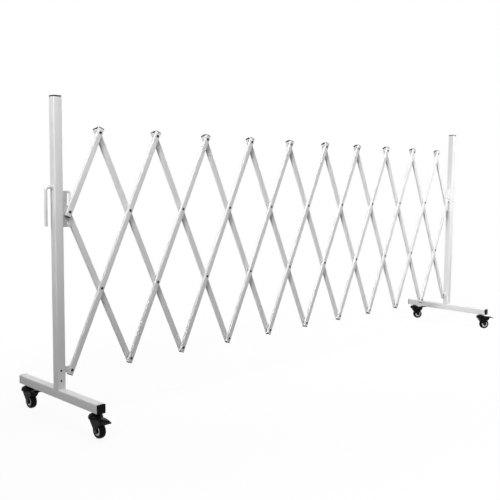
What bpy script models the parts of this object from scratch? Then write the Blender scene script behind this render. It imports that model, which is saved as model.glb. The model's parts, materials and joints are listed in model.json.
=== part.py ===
"""Expandable safety barrier: two wheeled posts joined by a scissor lattice of steel slats.

Metres, +Z up. X runs along the lattice, Y through it, and the front layer of slats lies at -Y.
The origin is under the middle of the barrier's box, on the floor.
"""
import math

import bmesh
import bpy
from mathutils import Matrix, Vector

# Driving dimensions
PIVOT_PITCH = 0.290          # between neighbouring pivots along a slat
HALF_CELL = 0.1207           # between neighbouring pivot columns, as the barrier stands open
COLUMNS = 20                 # half cells between the two end columns
BOTTOM_ROW_HEIGHT = 0.167    # of the lowest pivots above the floor
POST_SIZE = 0.030            # square tube, outside
POST_TOP = 1.0635            # upper end of the tube above the floor
PIVOT_OUTSTAND = 0.0415      # end column of pivots from the post's axis
BEAM_SIZE = 0.030            # square tube under each post, outside
BEAM_LENGTH = 0.481
CASTER_HEIGHT = 0.080        # floor to the underside of the beam
CASTER_INSET = 0.029         # of a caster stem from the end of its beam
WHEEL_RADIUS = 0.025

# Clearances and cutting
FIT = 0.0003                 # between pieces that touch or run in each other
BITE = 0.0004                # how deep one fused shape runs into the next
OVERRUN = 0.002              # how far a cutter passes the faces that it cuts

# Slats
SLAT_WIDTH = 0.020
SLAT_DEPTH = 0.010
SLAT_WALL = 0.0012
SLAT_EDGE = 0.001            # chamfer along the tube's corners
SLAT_TAIL = 0.015            # from the last pivot to the slat's end
PIN_RADIUS = 0.003
PIN_HEAD_RADIUS = 0.0052
PIN_HEAD_HEIGHT = 0.0024
PIN_TAIL_RADIUS = 0.0045
PIN_TAIL_HEIGHT = 0.0018
WASHER_RADIUS = 0.0075
HEAD_FLAT_SHARE = 0.6        # flat top of a pin's head, as a share of its radius

# Posts, beams and their plastic
TUBE_WALL = 0.0015
TUBE_CORNER = 0.003
SPIGOT_HEIGHT = 0.080        # stub on the beam inside the post
SPIGOT_WALL = 0.002
CAP_THICKNESS = 0.004
PLUG_DEPTH = 0.014
PLUG_CORNER = 0.001

# Brackets on the posts
PLATE = 0.0024
FLANGE_WIDTH = 0.012
SLOT_PLATE_REACH = 0.0365    # from the post's face to the plate's outer edge
SLOT_PLATE_BELOW = 0.049     # from the sliding pin down to the plate's end
SLOT_PLATE_ABOVE = 0.0695
SLOT_BELOW = 0.0405          # from the sliding pin down to the slot's end
SLOT_ABOVE = 0.0625
SLOT_WIDTH = 0.0074
PLATE_CORNER = 0.007
TAB_REACH = 0.0365
TAB_HEIGHT = 0.021
TAB_RISE = 0.0035            # the tab's middle above its pivot

# Coupling hook and eyes
HOOK_ROD = 0.0048            # radius
HOOK_STANDOFF = 0.0245       # from the post's face to the leg's axis
HOOK_HEIGHT = 0.7755         # of the upper run's axis
HOOK_DROP = 0.1255           # from the upper run's axis to the leg's end
HOOK_BEND = 0.010            # along the rod's axis
EYE_HEIGHTS = (0.757, 0.690)
EYE_THICKNESS = 0.004
EYE_HOLE = 0.0065            # radius
EYE_RIM = 0.0045             # metal around the hole
EYE_CENTRE = 0.0220          # of the hole from the post's face

# Casters: s runs from the stem to the wheel, and z up from the floor
TRAIL = 0.020                # axle behind the stem
TYRE_WIDTH = 0.021
TYRE_CROWN = 0.004           # how far the tread rounds off at each side
HUB_RADIUS = 0.0140
HUB_RECESS = 0.0012          # hub face inside the tyre's face
HUB_BOSS = 0.0075
AXLE_RADIUS = 0.004
AXLE_CAP_RADIUS = 0.0062
AXLE_CAP_HEIGHT = 0.002
CHEEK = 0.003
WHEEL_SIDE_GAP = 0.0012
WHEEL_TOP_GAP = 0.0025
HEAD_RADIUS = 0.0235
HEAD_HEIGHT = 0.0135
HEAD_SHARES = ((1.0, 0.30), (0.94, 0.70), (0.70, 1.0))    # dome rings: radius, height
FORK_BOSS = 0.0080           # radius of the fork's lower ends about the axle
FORK_BOSS_FROM = math.radians(215)        # their arc, from the front edge round the bottom
FORK_BOSS_TO = math.radians(355)
FORK_IN_HEAD = 0.25          # how far the cheeks run up into the dome, as a share of its height
FORK_FRONT = 0.0180          # forward edge of the moulded fork from the stem
FORK_SHOULDER = 0.060        # height where the fork's front starts to taper
FORK_WEB_BOTTOM = 0.050      # lower edge of the wall in front of the wheel
FORK_EAR = ((0.0275, 0.0370), (0.0310, 0.0430), (0.0410, 0.0490), (0.0455, 0.0570),
            (0.0430, 0.0630))             # rear edge of a cheek, upwards
POCKET_START = 0.0255        # inner wall of the pedal's pocket from the stem
STEM_RADIUS = 0.005
STEM_RISE = 0.018            # thread above the underside of the beam
NUT_RADIUS = 0.0095
NUT_HEIGHT = 0.0055
KINGPIN_RADIUS = 0.0075
KINGPIN_HEIGHT = 0.002
PEDAL_PIN = (0.033, 0.0575)
PEDAL_PIN_RADIUS = 0.002
PEDAL_UPPER = ((0.0280, 0.0668), (0.0420, 0.0660), (0.0560, 0.0640), (0.0660, 0.0610))
PEDAL_TIP = (0.0705, 0.0575)
PEDAL_UNDER = ((0.0685, 0.0560), (0.0635, 0.0588), (0.0540, 0.0600), (0.0455, 0.0580), (0.0420, 0.0530))
PEDAL_HEEL = (0.0280, 0.0540)
SHOE_GAP = 0.0007            # over the tyre while the pedal is down
SHOE_FROM = math.radians(44)              # the shoe's arc about the axle
SHOE_TO = math.radians(62)
PEDAL_LIFT = math.radians(14)             # from pressed down to released
PEDALS_UP = {"front": False, "rear": True}                # as the barrier stands
LEFT_CASTER_TURN = math.radians(-90)      # the wheels trail towards the front
RIGHT_CASTER_TURN = math.radians(-37)

# Facets
PIN_SIDES = 6
STEM_SIDES = 10
WHEEL_SIDES = 24
HUB_SIDES = 16
HEAD_SIDES = 16
CORNER_STEPS = 2
BEND_STEPS = 5
EYE_SIDES = 12
ROD_ROUNDNESS = 3            # of the hook's bar
SHARP_ANGLE = math.radians(35)            # edges sharper than this stay sharp

# Worked out from the sizes above
LAYER_GAP = PLATE + 2 * FIT                       # between the two layers of slats
FRONT_LAYER = -(LAYER_GAP + SLAT_DEPTH) / 2       # middle of the front slats in Y
BACK_LAYER = -FRONT_LAYER
LEAN = math.asin(HALF_CELL / PIVOT_PITCH)         # of a slat from upright
ROW_SPACING = PIVOT_PITCH * math.cos(LEAN)
POST_X = COLUMNS * HALF_CELL / 2 + PIVOT_OUTSTAND
POST_INNER = POST_SIZE - 2 * TUBE_WALL
BEAM_INNER = BEAM_SIZE - 2 * TUBE_WALL
CASTER_SPREAD = BEAM_LENGTH - 2 * CASTER_INSET    # between the two caster stems under a beam
BEAM_TOP = CASTER_HEIGHT + BEAM_SIZE
SLIDING_PIN_HEIGHT = BOTTOM_ROW_HEIGHT + 2 * ROW_SPACING
WELL_WIDTH = TYRE_WIDTH + 2 * WHEEL_SIDE_GAP
FORK_WIDTH = WELL_WIDTH + 2 * CHEEK
HEAD_TOP = CASTER_HEIGHT - FIT - NUT_HEIGHT - FIT
HEAD_BOTTOM = HEAD_TOP - HEAD_HEIGHT
PEDAL_HALF = WELL_WIDTH / 2 - FIT
LEFT_REACH = POST_X + POST_SIZE / 2 + HOOK_STANDOFF + HOOK_ROD     # the hook's leg
RIGHT_REACH = (POST_X + PEDAL_TIP[0] * math.cos(RIGHT_CASTER_TURN)
               - PEDAL_HALF * math.sin(RIGHT_CASTER_TURN))         # the turned front pedal
FRONT_REACH = CASTER_SPREAD / 2 + PEDAL_TIP[0]                     # the other front pedal
REAR_REACH = BEAM_LENGTH / 2 + FIT + CAP_THICKNESS                 # the beams' rear plugs
BOX_CENTRE = Vector(((RIGHT_REACH - LEFT_REACH) / 2, (REAR_REACH - FRONT_REACH) / 2, 0))


def clear_scene():
    """Start from an empty file."""
    for thing in list(bpy.data.objects):
        bpy.data.objects.remove(thing, do_unlink=True)


def material(name, colour, roughness, metallic=0.0):
    """A Principled material with one colour."""
    made = bpy.data.materials.new(name)
    made.use_nodes = True
    shader = made.node_tree.nodes["Principled BSDF"]
    shader.inputs["Base Color"].default_value = (*colour, 1.0)
    shader.inputs["Roughness"].default_value = roughness
    shader.inputs["Metallic"].default_value = metallic
    made.diffuse_color = (*colour, 1.0)
    return made


def mesh_from(name, build):
    """Closed mesh from a function that fills a bmesh."""
    shape = bmesh.new()
    build(shape)
    bmesh.ops.recalc_face_normals(shape, faces=shape.faces)
    mesh = bpy.data.meshes.new(name)
    shape.to_mesh(mesh)
    shape.free()
    return mesh


def rounded_rectangle(width, depth, radius, steps):
    """Corner points of a rounded rectangle about the origin, anticlockwise."""
    points = []
    for index, (sx, sy) in enumerate(((1, 1), (-1, 1), (-1, -1), (1, -1))):
        middle = Vector((sx * (width / 2 - radius), sy * (depth / 2 - radius)))
        for step in range(steps + 1):
            angle = math.pi / 2 * (index + step / steps)
            points.append(middle + Vector((math.cos(angle), math.sin(angle))) * radius)
    return points


def bridge(shape, lower, upper):
    """Quads between two loops with the same number of points."""
    count = len(lower)
    for index in range(count):
        after = (index + 1) % count
        shape.faces.new((lower[index], lower[after], upper[after], upper[index]))


def stack(name, levels, steps=CORNER_STEPS):
    """Solid of rounded rectangles; levels are (z, width, depth, corner radius)."""
    def build(shape):
        loops = []
        for height, width, depth, radius in levels:
            outline = rounded_rectangle(width, depth, radius, steps)
            loops.append([shape.verts.new((x, y, height)) for x, y in outline])
        for lower, upper in zip(loops, loops[1:]):
            bridge(shape, lower, upper)
        shape.faces.new(reversed(loops[0]))
        shape.faces.new(loops[-1])
    return mesh_from(name, build)


def square_tube(name, width, depth, wall, corner, start, end, steps):
    """Open-ended tube along Z."""
    def build(shape):
        inner = (width - 2 * wall, depth - 2 * wall, max(corner - wall, corner / 4))
        loops = []
        for size, height in (((width, depth, corner), start), ((width, depth, corner), end),
                             (inner, end), (inner, start)):
            outline = rounded_rectangle(*size, steps)
            loops.append([shape.verts.new((x, y, height)) for x, y in outline])
        for index, loop in enumerate(loops):
            bridge(shape, loop, loops[(index + 1) % len(loops)])
    return mesh_from(name, build)


def turned(name, profile, sides, hollow=False):
    """Turned solid about Z; profile is (radius, z) and closes on itself when hollow."""
    def build(shape):
        rings = []
        for radius, height in profile:
            if radius == 0:
                rings.append([shape.verts.new((0, 0, height))])
                continue
            ring = []
            for side in range(sides):
                angle = 2 * math.pi * (side + 0.5) / sides
                ring.append(shape.verts.new((radius * math.cos(angle), radius * math.sin(angle), height)))
            rings.append(ring)
        pairs = list(zip(rings, rings[1:]))
        if hollow:
            pairs.append((rings[-1], rings[0]))
        for low, high in pairs:
            if len(low) == len(high):
                bridge(shape, low, high)
                continue
            tip, ring = (low[0], high) if len(low) == 1 else (high[0], low)
            for index in range(sides):
                shape.faces.new((tip, ring[index], ring[(index + 1) % sides]))
        if not hollow and len(rings[0]) > 1:
            shape.faces.new(rings[0])
        if not hollow and len(rings[-1]) > 1:
            shape.faces.new(rings[-1])
    return mesh_from(name, build)


def plate(name, outline, start, end, axis="Y"):
    """Outline of (a, b) points pushed out from start to end along Y, or along Z."""
    def build(shape):
        loops = []
        for level in (start, end):
            if axis == "Y":
                loops.append([shape.verts.new((a, level, b)) for a, b in outline])
            else:
                loops.append([shape.verts.new((a, b, level)) for a, b in outline])
        bridge(shape, *loops)
        shape.faces.new(loops[0])
        shape.faces.new(reversed(loops[1]))
    return mesh_from(name, build)


def box(name, low, high):
    """Plain block between two corners."""
    outline = [(low[0], low[2]), (high[0], low[2]), (high[0], high[2]), (low[0], high[2])]
    return plate(name, outline, low[1], high[1])


def moved(mesh, turn=None, shift=(0, 0, 0)):
    """The mesh after a turn and a shift of its points."""
    matrix = Matrix.Translation(shift)
    if turn:
        matrix = matrix @ Matrix.Rotation(turn[0], 4, turn[1])
    mesh.transform(matrix)
    return mesh


def across(mesh, middle=(0, 0, 0)):
    """A turned mesh laid along Y, its first ring to the front, with its middle at a place."""
    return moved(mesh, (-math.pi / 2, "X"), middle)


def bore(radius, sides):
    """Ring radius of a faceted hole that a round piece of this radius runs in."""
    return (radius + FIT) / math.cos(math.pi / sides)


def combined(name, base, steps):
    """Base mesh after boolean steps, each ("UNION" or "DIFFERENCE", mesh)."""
    collection = bpy.context.scene.collection
    body = bpy.data.objects.new(name, base)
    collection.objects.link(body)
    helpers = []
    for operation, mesh in steps:
        helper = bpy.data.objects.new(name + "_step", mesh)
        collection.objects.link(helper)
        helpers.append(helper)
        modifier = body.modifiers.new(operation.lower(), "BOOLEAN")
        modifier.operation = operation
        modifier.solver = "EXACT"
        modifier.object = helper
    evaluated = body.evaluated_get(bpy.context.evaluated_depsgraph_get())
    mesh = bpy.data.meshes.new_from_object(evaluated)
    mesh.name = name
    for helper in helpers + [body]:
        bpy.data.objects.remove(helper, do_unlink=True)
    return mesh


def empty(name, parent, location=(0, 0, 0), turn=0.0):
    """Empty that carries pieces, turned about Z."""
    made = bpy.data.objects.new(name, None)
    bpy.context.scene.collection.objects.link(made)
    made.parent = parent
    made.location = location
    made.rotation_euler = (0, 0, turn)
    return made


def piece(name, data, finish, parent, location=(0, 0, 0), lean=0.0, smooth=False):
    """Named sub-part; lean turns it about Y, and smooth shades its curved faces as round."""
    made = bpy.data.objects.new(name, data)
    bpy.context.scene.collection.objects.link(made)
    made.parent = parent
    made.location = location
    made.rotation_euler = (0, lean, 0)
    data.materials.clear()
    data.materials.append(finish)
    if smooth:
        data.shade_smooth()
        data.set_sharp_from_angle(angle=SHARP_ANGLE)
    return made


# Lattice: rows count down from 0 at the top to 3 at the bottom, and a slat is known by the
# column of its row 3 pivot and by the way it leans, +1 to the right and -1 to the left.

def slat_rows(bottom_column, way):
    """Rows of a slat's pivots, from its lower end upwards."""
    return [row for row in (3, 2, 1, 0) if 0 <= bottom_column + way * (3 - row) <= COLUMNS]


def hinge_row(bottom_column, way):
    """Row of the pivot about which a slat turns on the slat that carries it."""
    if way > 0:
        return 1 if bottom_column < 0 else (3, 1, 2)[bottom_column // 2 % 3]
    return (1, 0, 2)[(bottom_column // 2 - 2) % 3]


def pivot_place(column, row):
    """Centre of a pivot in the barrier's frame."""
    return Vector(((column - COLUMNS / 2) * HALF_CELL, 0,
                   BOTTOM_ROW_HEIGHT + (3 - row) * ROW_SPACING))


def pivot_pin(far_side, with_washer, front=FRONT_LAYER - SLAT_DEPTH / 2):
    """Riveted pin along Y from the front slat's face to behind the piece at far_side."""
    back = -FRONT_LAYER - SLAT_DEPTH / 2
    profile = [
        (0, front - PIN_HEAD_HEIGHT),
        (PIN_HEAD_RADIUS * HEAD_FLAT_SHARE, front - PIN_HEAD_HEIGHT),
        (PIN_HEAD_RADIUS, front + BITE),
        (PIN_RADIUS, front + BITE),
    ]
    if with_washer:
        seat = -back - BITE
        profile += [(PIN_RADIUS, seat), (WASHER_RADIUS, seat), (WASHER_RADIUS, back - FIT),
                    (PIN_RADIUS, back - FIT)]
    profile += [
        (PIN_RADIUS, far_side + FIT),
        (PIN_TAIL_RADIUS, far_side + FIT),
        (0, far_side + FIT + PIN_TAIL_HEIGHT),
    ]
    return across(turned("pin", profile, PIN_SIDES))


def slat_mesh(bottom_column, way):
    """Slat along Z with its hinge pivot at the origin; a front slat carries its pins."""
    rows = slat_rows(bottom_column, way)
    hinge = hinge_row(bottom_column, way)
    heights = {row: (hinge - row) * PIVOT_PITCH for row in rows}
    layer = FRONT_LAYER if way > 0 else BACK_LAYER
    tube = square_tube("slat", SLAT_WIDTH, SLAT_DEPTH, SLAT_WALL, SLAT_EDGE,
                       heights[rows[0]] - SLAT_TAIL, heights[rows[-1]] + SLAT_TAIL, 1)
    tube = moved(tube, shift=(0, layer, 0))
    steps = []
    for row, height in heights.items():
        column = bottom_column + way * (3 - row)
        at_post = column in (0, COLUMNS)
        if way < 0:
            radius = bore(PIN_RADIUS, PIN_SIDES)
            reach = SLAT_DEPTH / 2 + OVERRUN
            hole = turned("hole", [(radius, layer - reach), (radius, layer + reach)], PIN_SIDES)
            steps.append(("DIFFERENCE", across(hole, (0, 0, height))))
            continue
        end = PLATE / 2 if row == 3 and at_post else BACK_LAYER + SLAT_DEPTH / 2
        steps.append(("UNION", moved(pivot_pin(end, not at_post), shift=(0, 0, height))))
    return combined("slat", tube, steps)


def lattice(parent, paint):
    """All the slats, each with its origin on its own hinge."""
    made = {}
    for way, layer in ((1, "front"), (-1, "back")):
        for number in range(1, COLUMNS // 2 + 2):
            bottom_column = 2 * (number - 2) if way > 0 else 2 * number
            hinge = hinge_row(bottom_column, way)
            rows = tuple(slat_rows(bottom_column, way))
            at_post = 0 in (bottom_column, bottom_column - COLUMNS)
            key = (way, rows, hinge, at_post)
            if key not in made:
                made[key] = slat_mesh(bottom_column, way)
            place = pivot_place(bottom_column + way * (3 - hinge), hinge)
            piece(f"{layer}_slat_{number:02d}", made[key], paint, parent, place, way * LEAN)


# Stands: x runs from the post's axis, and side is +1 where the lattice lies at +X.

def post(parent, name, paint, black):
    """Upright tube and its cap."""
    tube = square_tube("post", POST_SIZE, POST_SIZE, TUBE_WALL, TUBE_CORNER,
                       BEAM_TOP + FIT, POST_TOP, CORNER_STEPS)
    piece(name + "_post", tube, paint, parent, smooth=True)
    cap = stack("cap", end_plug_levels(POST_SIZE, POST_INNER))
    piece(name + "_post_cap", cap, black, parent, (0, 0, POST_TOP), smooth=True)


def end_plug_levels(outer, inner):
    """Levels of a push-in plug whose flange sits on a tube's end at z = 0."""
    body = inner - 2 * FIT
    return [
        (-PLUG_DEPTH, body - 2 * PLUG_CORNER, body - 2 * PLUG_CORNER, PLUG_CORNER),
        (-PLUG_DEPTH + PLUG_CORNER, body, body, PLUG_CORNER),
        (FIT, body, body, PLUG_CORNER),
        (FIT, outer, outer, TUBE_CORNER),
        (FIT + CAP_THICKNESS - PLUG_CORNER, outer, outer, TUBE_CORNER),
        (FIT + CAP_THICKNESS, outer - 2 * PLUG_CORNER, outer - 2 * PLUG_CORNER, TUBE_CORNER - PLUG_CORNER),
    ]


def foot_beam(parent, name, paint, black):
    """Beam along Y with its spigot, stem holes and end plugs."""
    beam = square_tube("beam", BEAM_SIZE, BEAM_SIZE, TUBE_WALL, TUBE_CORNER,
                       -BEAM_LENGTH / 2, BEAM_LENGTH / 2, CORNER_STEPS)
    beam = moved(beam, (math.pi / 2, "X"), (0, 0, CASTER_HEIGHT + BEAM_SIZE / 2))
    spigot_size = POST_INNER - 2 * FIT
    spigot = square_tube("spigot", spigot_size, spigot_size, SPIGOT_WALL, TUBE_CORNER - TUBE_WALL,
                         BEAM_TOP - TUBE_WALL / 2, BEAM_TOP + SPIGOT_HEIGHT, 1)
    radius = bore(STEM_RADIUS, STEM_SIDES)
    steps = [("UNION", spigot)]
    for y in (-CASTER_SPREAD / 2, CASTER_SPREAD / 2):
        hole = turned("hole", [(radius, CASTER_HEIGHT - OVERRUN),
                               (radius, CASTER_HEIGHT + TUBE_WALL + OVERRUN)], STEM_SIDES)
        steps.append(("DIFFERENCE", moved(hole, shift=(0, y, 0))))
    piece(name + "_foot_beam", combined("beam", beam, steps), paint, parent, smooth=True)
    for end, way in (("front", 1), ("rear", -1)):
        plug = stack("plug", end_plug_levels(BEAM_SIZE, BEAM_INNER))
        plug = moved(plug, (way * math.pi / 2, "X"),
                     (0, -way * BEAM_LENGTH / 2, CASTER_HEIGHT + BEAM_SIZE / 2))
        piece(f"{name}_{end}_end_plug", plug, black, parent, smooth=True)


def rounded_plate_outline(start, reach, low, high, radius, steps):
    """Upright plate outline in x and z whose two outer corners are round."""
    outline = [(start, low)]
    for middle_z, first in ((low + radius, -math.pi / 2), (high - radius, 0)):
        for step in range(steps + 1):
            angle = first + math.pi / 2 * step / steps
            outline.append((reach - radius + radius * math.cos(angle), middle_z + radius * math.sin(angle)))
    outline.append((start, high))
    return outline


def angle_bracket(reach, low, high, corner, steps):
    """Angle of plate whose flange lies on a post's +X face and whose plate stands out from it."""
    start = POST_SIZE / 2 + FIT
    leaf = plate("leaf", rounded_plate_outline(start, POST_SIZE / 2 + reach, low, high, corner,
                                               CORNER_STEPS), -PLATE / 2, PLATE / 2)
    flange = box("flange", (start, PLATE / 2 - BITE, low + BITE),
                 (start + PLATE, FLANGE_WIDTH, high - BITE))
    return combined("bracket", leaf, [("UNION", flange)] + steps)


def slot_bracket(parent, name, side, paint):
    """Bracket with the upright slot that guides the sliding end pin."""
    low, high = -SLOT_BELOW + SLOT_WIDTH / 2, SLOT_ABOVE - SLOT_WIDTH / 2
    outline = []
    for middle_z, first in ((low, math.pi), (high, 0)):
        for step in range(2 * CORNER_STEPS + 1):
            angle = first + math.pi * step / (2 * CORNER_STEPS)
            outline.append((PIVOT_OUTSTAND + SLOT_WIDTH / 2 * math.cos(angle),
                            middle_z + SLOT_WIDTH / 2 * math.sin(angle)))
    slot = plate("slot", outline, -PLATE / 2 - OVERRUN, PLATE / 2 + OVERRUN)
    bracket = angle_bracket(SLOT_PLATE_REACH, -SLOT_PLATE_BELOW, SLOT_PLATE_ABOVE, PLATE_CORNER,
                            [("DIFFERENCE", slot)])
    place_bracket(parent, name + "_slot_bracket", bracket, side, SLIDING_PIN_HEIGHT, paint)


def pivot_bracket(parent, name, side, paint):
    """Tab for the fixed end pivot: a hole on the left, and on the right its own pin."""
    if side > 0:
        radius = bore(PIN_RADIUS, PIN_SIDES)
        reach = PLATE / 2 + OVERRUN
        hole = across(turned("hole", [(radius, -reach), (radius, reach)], PIN_SIDES),
                      (PIVOT_OUTSTAND, 0, 0))
        steps = [("DIFFERENCE", hole)]
    else:
        pin = pivot_pin(BACK_LAYER + SLAT_DEPTH / 2, False, front=-PLATE / 2)
        steps = [("UNION", moved(pin, shift=(PIVOT_OUTSTAND, 0, 0)))]
    bracket = angle_bracket(TAB_REACH, TAB_RISE - TAB_HEIGHT / 2, TAB_RISE + TAB_HEIGHT / 2,
                            PLATE_CORNER, steps)
    place_bracket(parent, name + "_pivot_bracket", bracket, side, BOTTOM_ROW_HEIGHT, paint)


def place_bracket(parent, name, bracket, side, height, paint):
    """Put a bracket on the post, mirrored where the lattice lies at -X."""
    if side < 0:
        bracket.transform(Matrix.Diagonal((-1, 1, 1, 1)))
        bracket.flip_normals()
    piece(name, bracket, paint, parent, (0, 0, height))


def coupling_hook(parent, paint):
    """J of round bar on the post's outer face, its leg hanging down."""
    start = -POST_SIZE / 2 - FIT
    leg_x = -POST_SIZE / 2 - HOOK_STANDOFF
    points = [(start, 0)]
    for step in range(BEND_STEPS + 1):
        angle = math.pi / 2 + math.pi / 2 * step / BEND_STEPS
        points.append((leg_x + HOOK_BEND + HOOK_BEND * math.cos(angle),
                       -HOOK_BEND + HOOK_BEND * math.sin(angle)))
    points.append((leg_x, -HOOK_DROP))
    curve = bpy.data.curves.new("hook", "CURVE")
    curve.dimensions = "3D"
    curve.bevel_depth = HOOK_ROD
    curve.bevel_resolution = ROD_ROUNDNESS
    curve.use_fill_caps = True
    spline = curve.splines.new("POLY")
    spline.points.add(len(points) - 1)
    for point, (x, z) in zip(spline.points, points):
        point.co = (x, 0, z, 1)
    hook = bpy.data.objects.new("left_coupling_hook", curve)
    bpy.context.scene.collection.objects.link(hook)
    hook.parent = parent
    hook.location = (0, 0, HOOK_HEIGHT)
    curve.materials.append(paint)


def receiver_eyes(parent, paint):
    """Two flat eyes on the post's outer face, one above the other."""
    start = POST_SIZE / 2 + FIT
    centre = POST_SIZE / 2 + EYE_CENTRE
    rim = EYE_HOLE + EYE_RIM
    outline = [(start, -rim)]
    for step in range(EYE_SIDES + 1):
        angle = -math.pi / 2 + math.pi * step / EYE_SIDES
        outline.append((centre + rim * math.cos(angle), rim * math.sin(angle)))
    outline.append((start, rim))
    for name, height in zip(("upper", "lower"), EYE_HEIGHTS):
        leaf = plate("eye", outline, -EYE_THICKNESS / 2, EYE_THICKNESS / 2, "Z")
        reach = EYE_THICKNESS / 2 + OVERRUN
        hole = moved(turned("hole", [(EYE_HOLE, -reach), (EYE_HOLE, reach)], EYE_SIDES),
                     shift=(centre, 0, 0))
        eye = combined("eye", leaf, [("DIFFERENCE", hole)])
        piece(f"right_{name}_eye", eye, paint, parent, (0, 0, height))


def stem_mesh():
    """Threaded stem with its nuts, and below them the kingpin that holds the fork."""
    inside = CASTER_HEIGHT + TUBE_WALL + FIT
    profile = [
        (0, HEAD_BOTTOM - FIT - KINGPIN_HEIGHT), (KINGPIN_RADIUS, HEAD_BOTTOM - FIT - KINGPIN_HEIGHT),
        (KINGPIN_RADIUS, HEAD_BOTTOM - FIT), (STEM_RADIUS, HEAD_BOTTOM - FIT),
        (STEM_RADIUS, HEAD_TOP + FIT), (NUT_RADIUS, HEAD_TOP + FIT),
        (NUT_RADIUS, CASTER_HEIGHT - FIT), (STEM_RADIUS, CASTER_HEIGHT - FIT),
        (STEM_RADIUS, inside), (NUT_RADIUS, inside), (NUT_RADIUS, inside + NUT_HEIGHT),
        (STEM_RADIUS, inside + NUT_HEIGHT), (STEM_RADIUS, CASTER_HEIGHT + STEM_RISE),
        (0, CASTER_HEIGHT + STEM_RISE),
    ]
    return turned("stem", profile, STEM_SIDES)


def fork_mesh():
    """Moulded fork: dome over two tapering cheeks, with its axle and pedal pin."""
    radius = bore(STEM_RADIUS, STEM_SIDES)
    dome = [(radius, HEAD_BOTTOM), (HEAD_RADIUS, HEAD_BOTTOM)]
    dome += [(HEAD_RADIUS * wide, HEAD_BOTTOM + HEAD_HEIGHT * high) for wide, high in HEAD_SHARES]
    dome.append((radius, HEAD_TOP))
    head = turned("head", dome, HEAD_SIDES, hollow=True)
    shoulder = HEAD_BOTTOM + HEAD_HEIGHT * FORK_IN_HEAD
    outline = [(-FORK_FRONT, shoulder), (-FORK_FRONT, FORK_SHOULDER)]
    for step in range(BEND_STEPS + 1):
        angle = FORK_BOSS_FROM + (FORK_BOSS_TO - FORK_BOSS_FROM) * step / BEND_STEPS
        outline.append((TRAIL + FORK_BOSS * math.cos(angle), WHEEL_RADIUS + FORK_BOSS * math.sin(angle)))
    outline += [*FORK_EAR, (POCKET_START, shoulder)]
    cheeks = plate("cheeks", outline, -FORK_WIDTH / 2, FORK_WIDTH / 2)
    well_radius = WHEEL_RADIUS + WHEEL_TOP_GAP
    well = across(turned("well", [(well_radius, -WELL_WIDTH / 2), (well_radius, WELL_WIDTH / 2)],
                         HUB_SIDES), (TRAIL, 0, WHEEL_RADIUS))
    mouth = box("mouth", (-FORK_FRONT - OVERRUN, -WELL_WIDTH / 2, 0),
                (FORK_EAR[-2][0] + OVERRUN, WELL_WIDTH / 2, FORK_WEB_BOTTOM))
    pocket = box("pocket", (POCKET_START, -WELL_WIDTH / 2, WHEEL_RADIUS),
                 (FORK_EAR[-2][0] + OVERRUN, WELL_WIDTH / 2, HEAD_TOP + OVERRUN))
    wide = bore(KINGPIN_RADIUS, STEM_SIDES)
    kingpin_room = turned("room", [(wide, WHEEL_RADIUS), (wide, HEAD_BOTTOM)], STEM_SIDES)
    stem_room = turned("room", [(radius, HEAD_BOTTOM - OVERRUN), (radius, HEAD_TOP + OVERRUN)], STEM_SIDES)
    half = FORK_WIDTH / 2
    axle = turned("axle", [(0, -half - AXLE_CAP_HEIGHT), (AXLE_CAP_RADIUS, -half - AXLE_CAP_HEIGHT),
                           (AXLE_CAP_RADIUS, BITE - half), (AXLE_RADIUS, BITE - half),
                           (AXLE_RADIUS, half - BITE), (AXLE_CAP_RADIUS, half - BITE),
                           (AXLE_CAP_RADIUS, half + AXLE_CAP_HEIGHT), (0, half + AXLE_CAP_HEIGHT)], STEM_SIDES)
    inner = WELL_WIDTH / 2 + BITE
    pedal_pin = turned("pin", [(PEDAL_PIN_RADIUS, -inner), (PEDAL_PIN_RADIUS, inner)], PIN_SIDES)
    return combined("fork", head, [
        ("UNION", cheeks), ("DIFFERENCE", well), ("DIFFERENCE", mouth), ("DIFFERENCE", pocket),
        ("DIFFERENCE", kingpin_room), ("DIFFERENCE", stem_room),
        ("UNION", across(axle, (TRAIL, 0, WHEEL_RADIUS))),
        ("UNION", across(pedal_pin, (PEDAL_PIN[0], 0, PEDAL_PIN[1]))),
    ])


def pedal_mesh():
    """Brake pedal, pressed down, about its pin; the shoe under it follows the tyre."""
    outline = [*PEDAL_UPPER, PEDAL_TIP, *PEDAL_UNDER]
    reach = WHEEL_RADIUS / math.cos(math.pi / WHEEL_SIDES) + SHOE_GAP
    for step in range(CORNER_STEPS + 1):
        angle = SHOE_FROM + (SHOE_TO - SHOE_FROM) * step / CORNER_STEPS
        outline.append((TRAIL + reach * math.cos(angle), WHEEL_RADIUS + reach * math.sin(angle)))
    outline.append(PEDAL_HEEL)
    body = plate("pedal", outline, -PEDAL_HALF, PEDAL_HALF)
    radius = bore(PEDAL_PIN_RADIUS, PIN_SIDES)
    reach = PEDAL_HALF + OVERRUN
    hole = across(turned("hole", [(radius, -reach), (radius, reach)], PIN_SIDES),
                  (PEDAL_PIN[0], 0, PEDAL_PIN[1]))
    mesh = combined("pedal", body, [("DIFFERENCE", hole)])
    return moved(mesh, shift=(-PEDAL_PIN[0], 0, -PEDAL_PIN[1]))


def tyre_mesh():
    """Tyre about its axle, flat on the floor."""
    tread = WHEEL_RADIUS / math.cos(math.pi / WHEEL_SIDES)
    seat = bore(HUB_RADIUS, WHEEL_SIDES)
    half = TYRE_WIDTH / 2
    profile = [(seat, -half), (tread - TYRE_CROWN, -half), (tread, TYRE_CROWN - half),
               (tread, half - TYRE_CROWN), (tread - TYRE_CROWN, half), (seat, half)]
    return across(turned("tyre", profile, WHEEL_SIDES, hollow=True))


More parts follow.
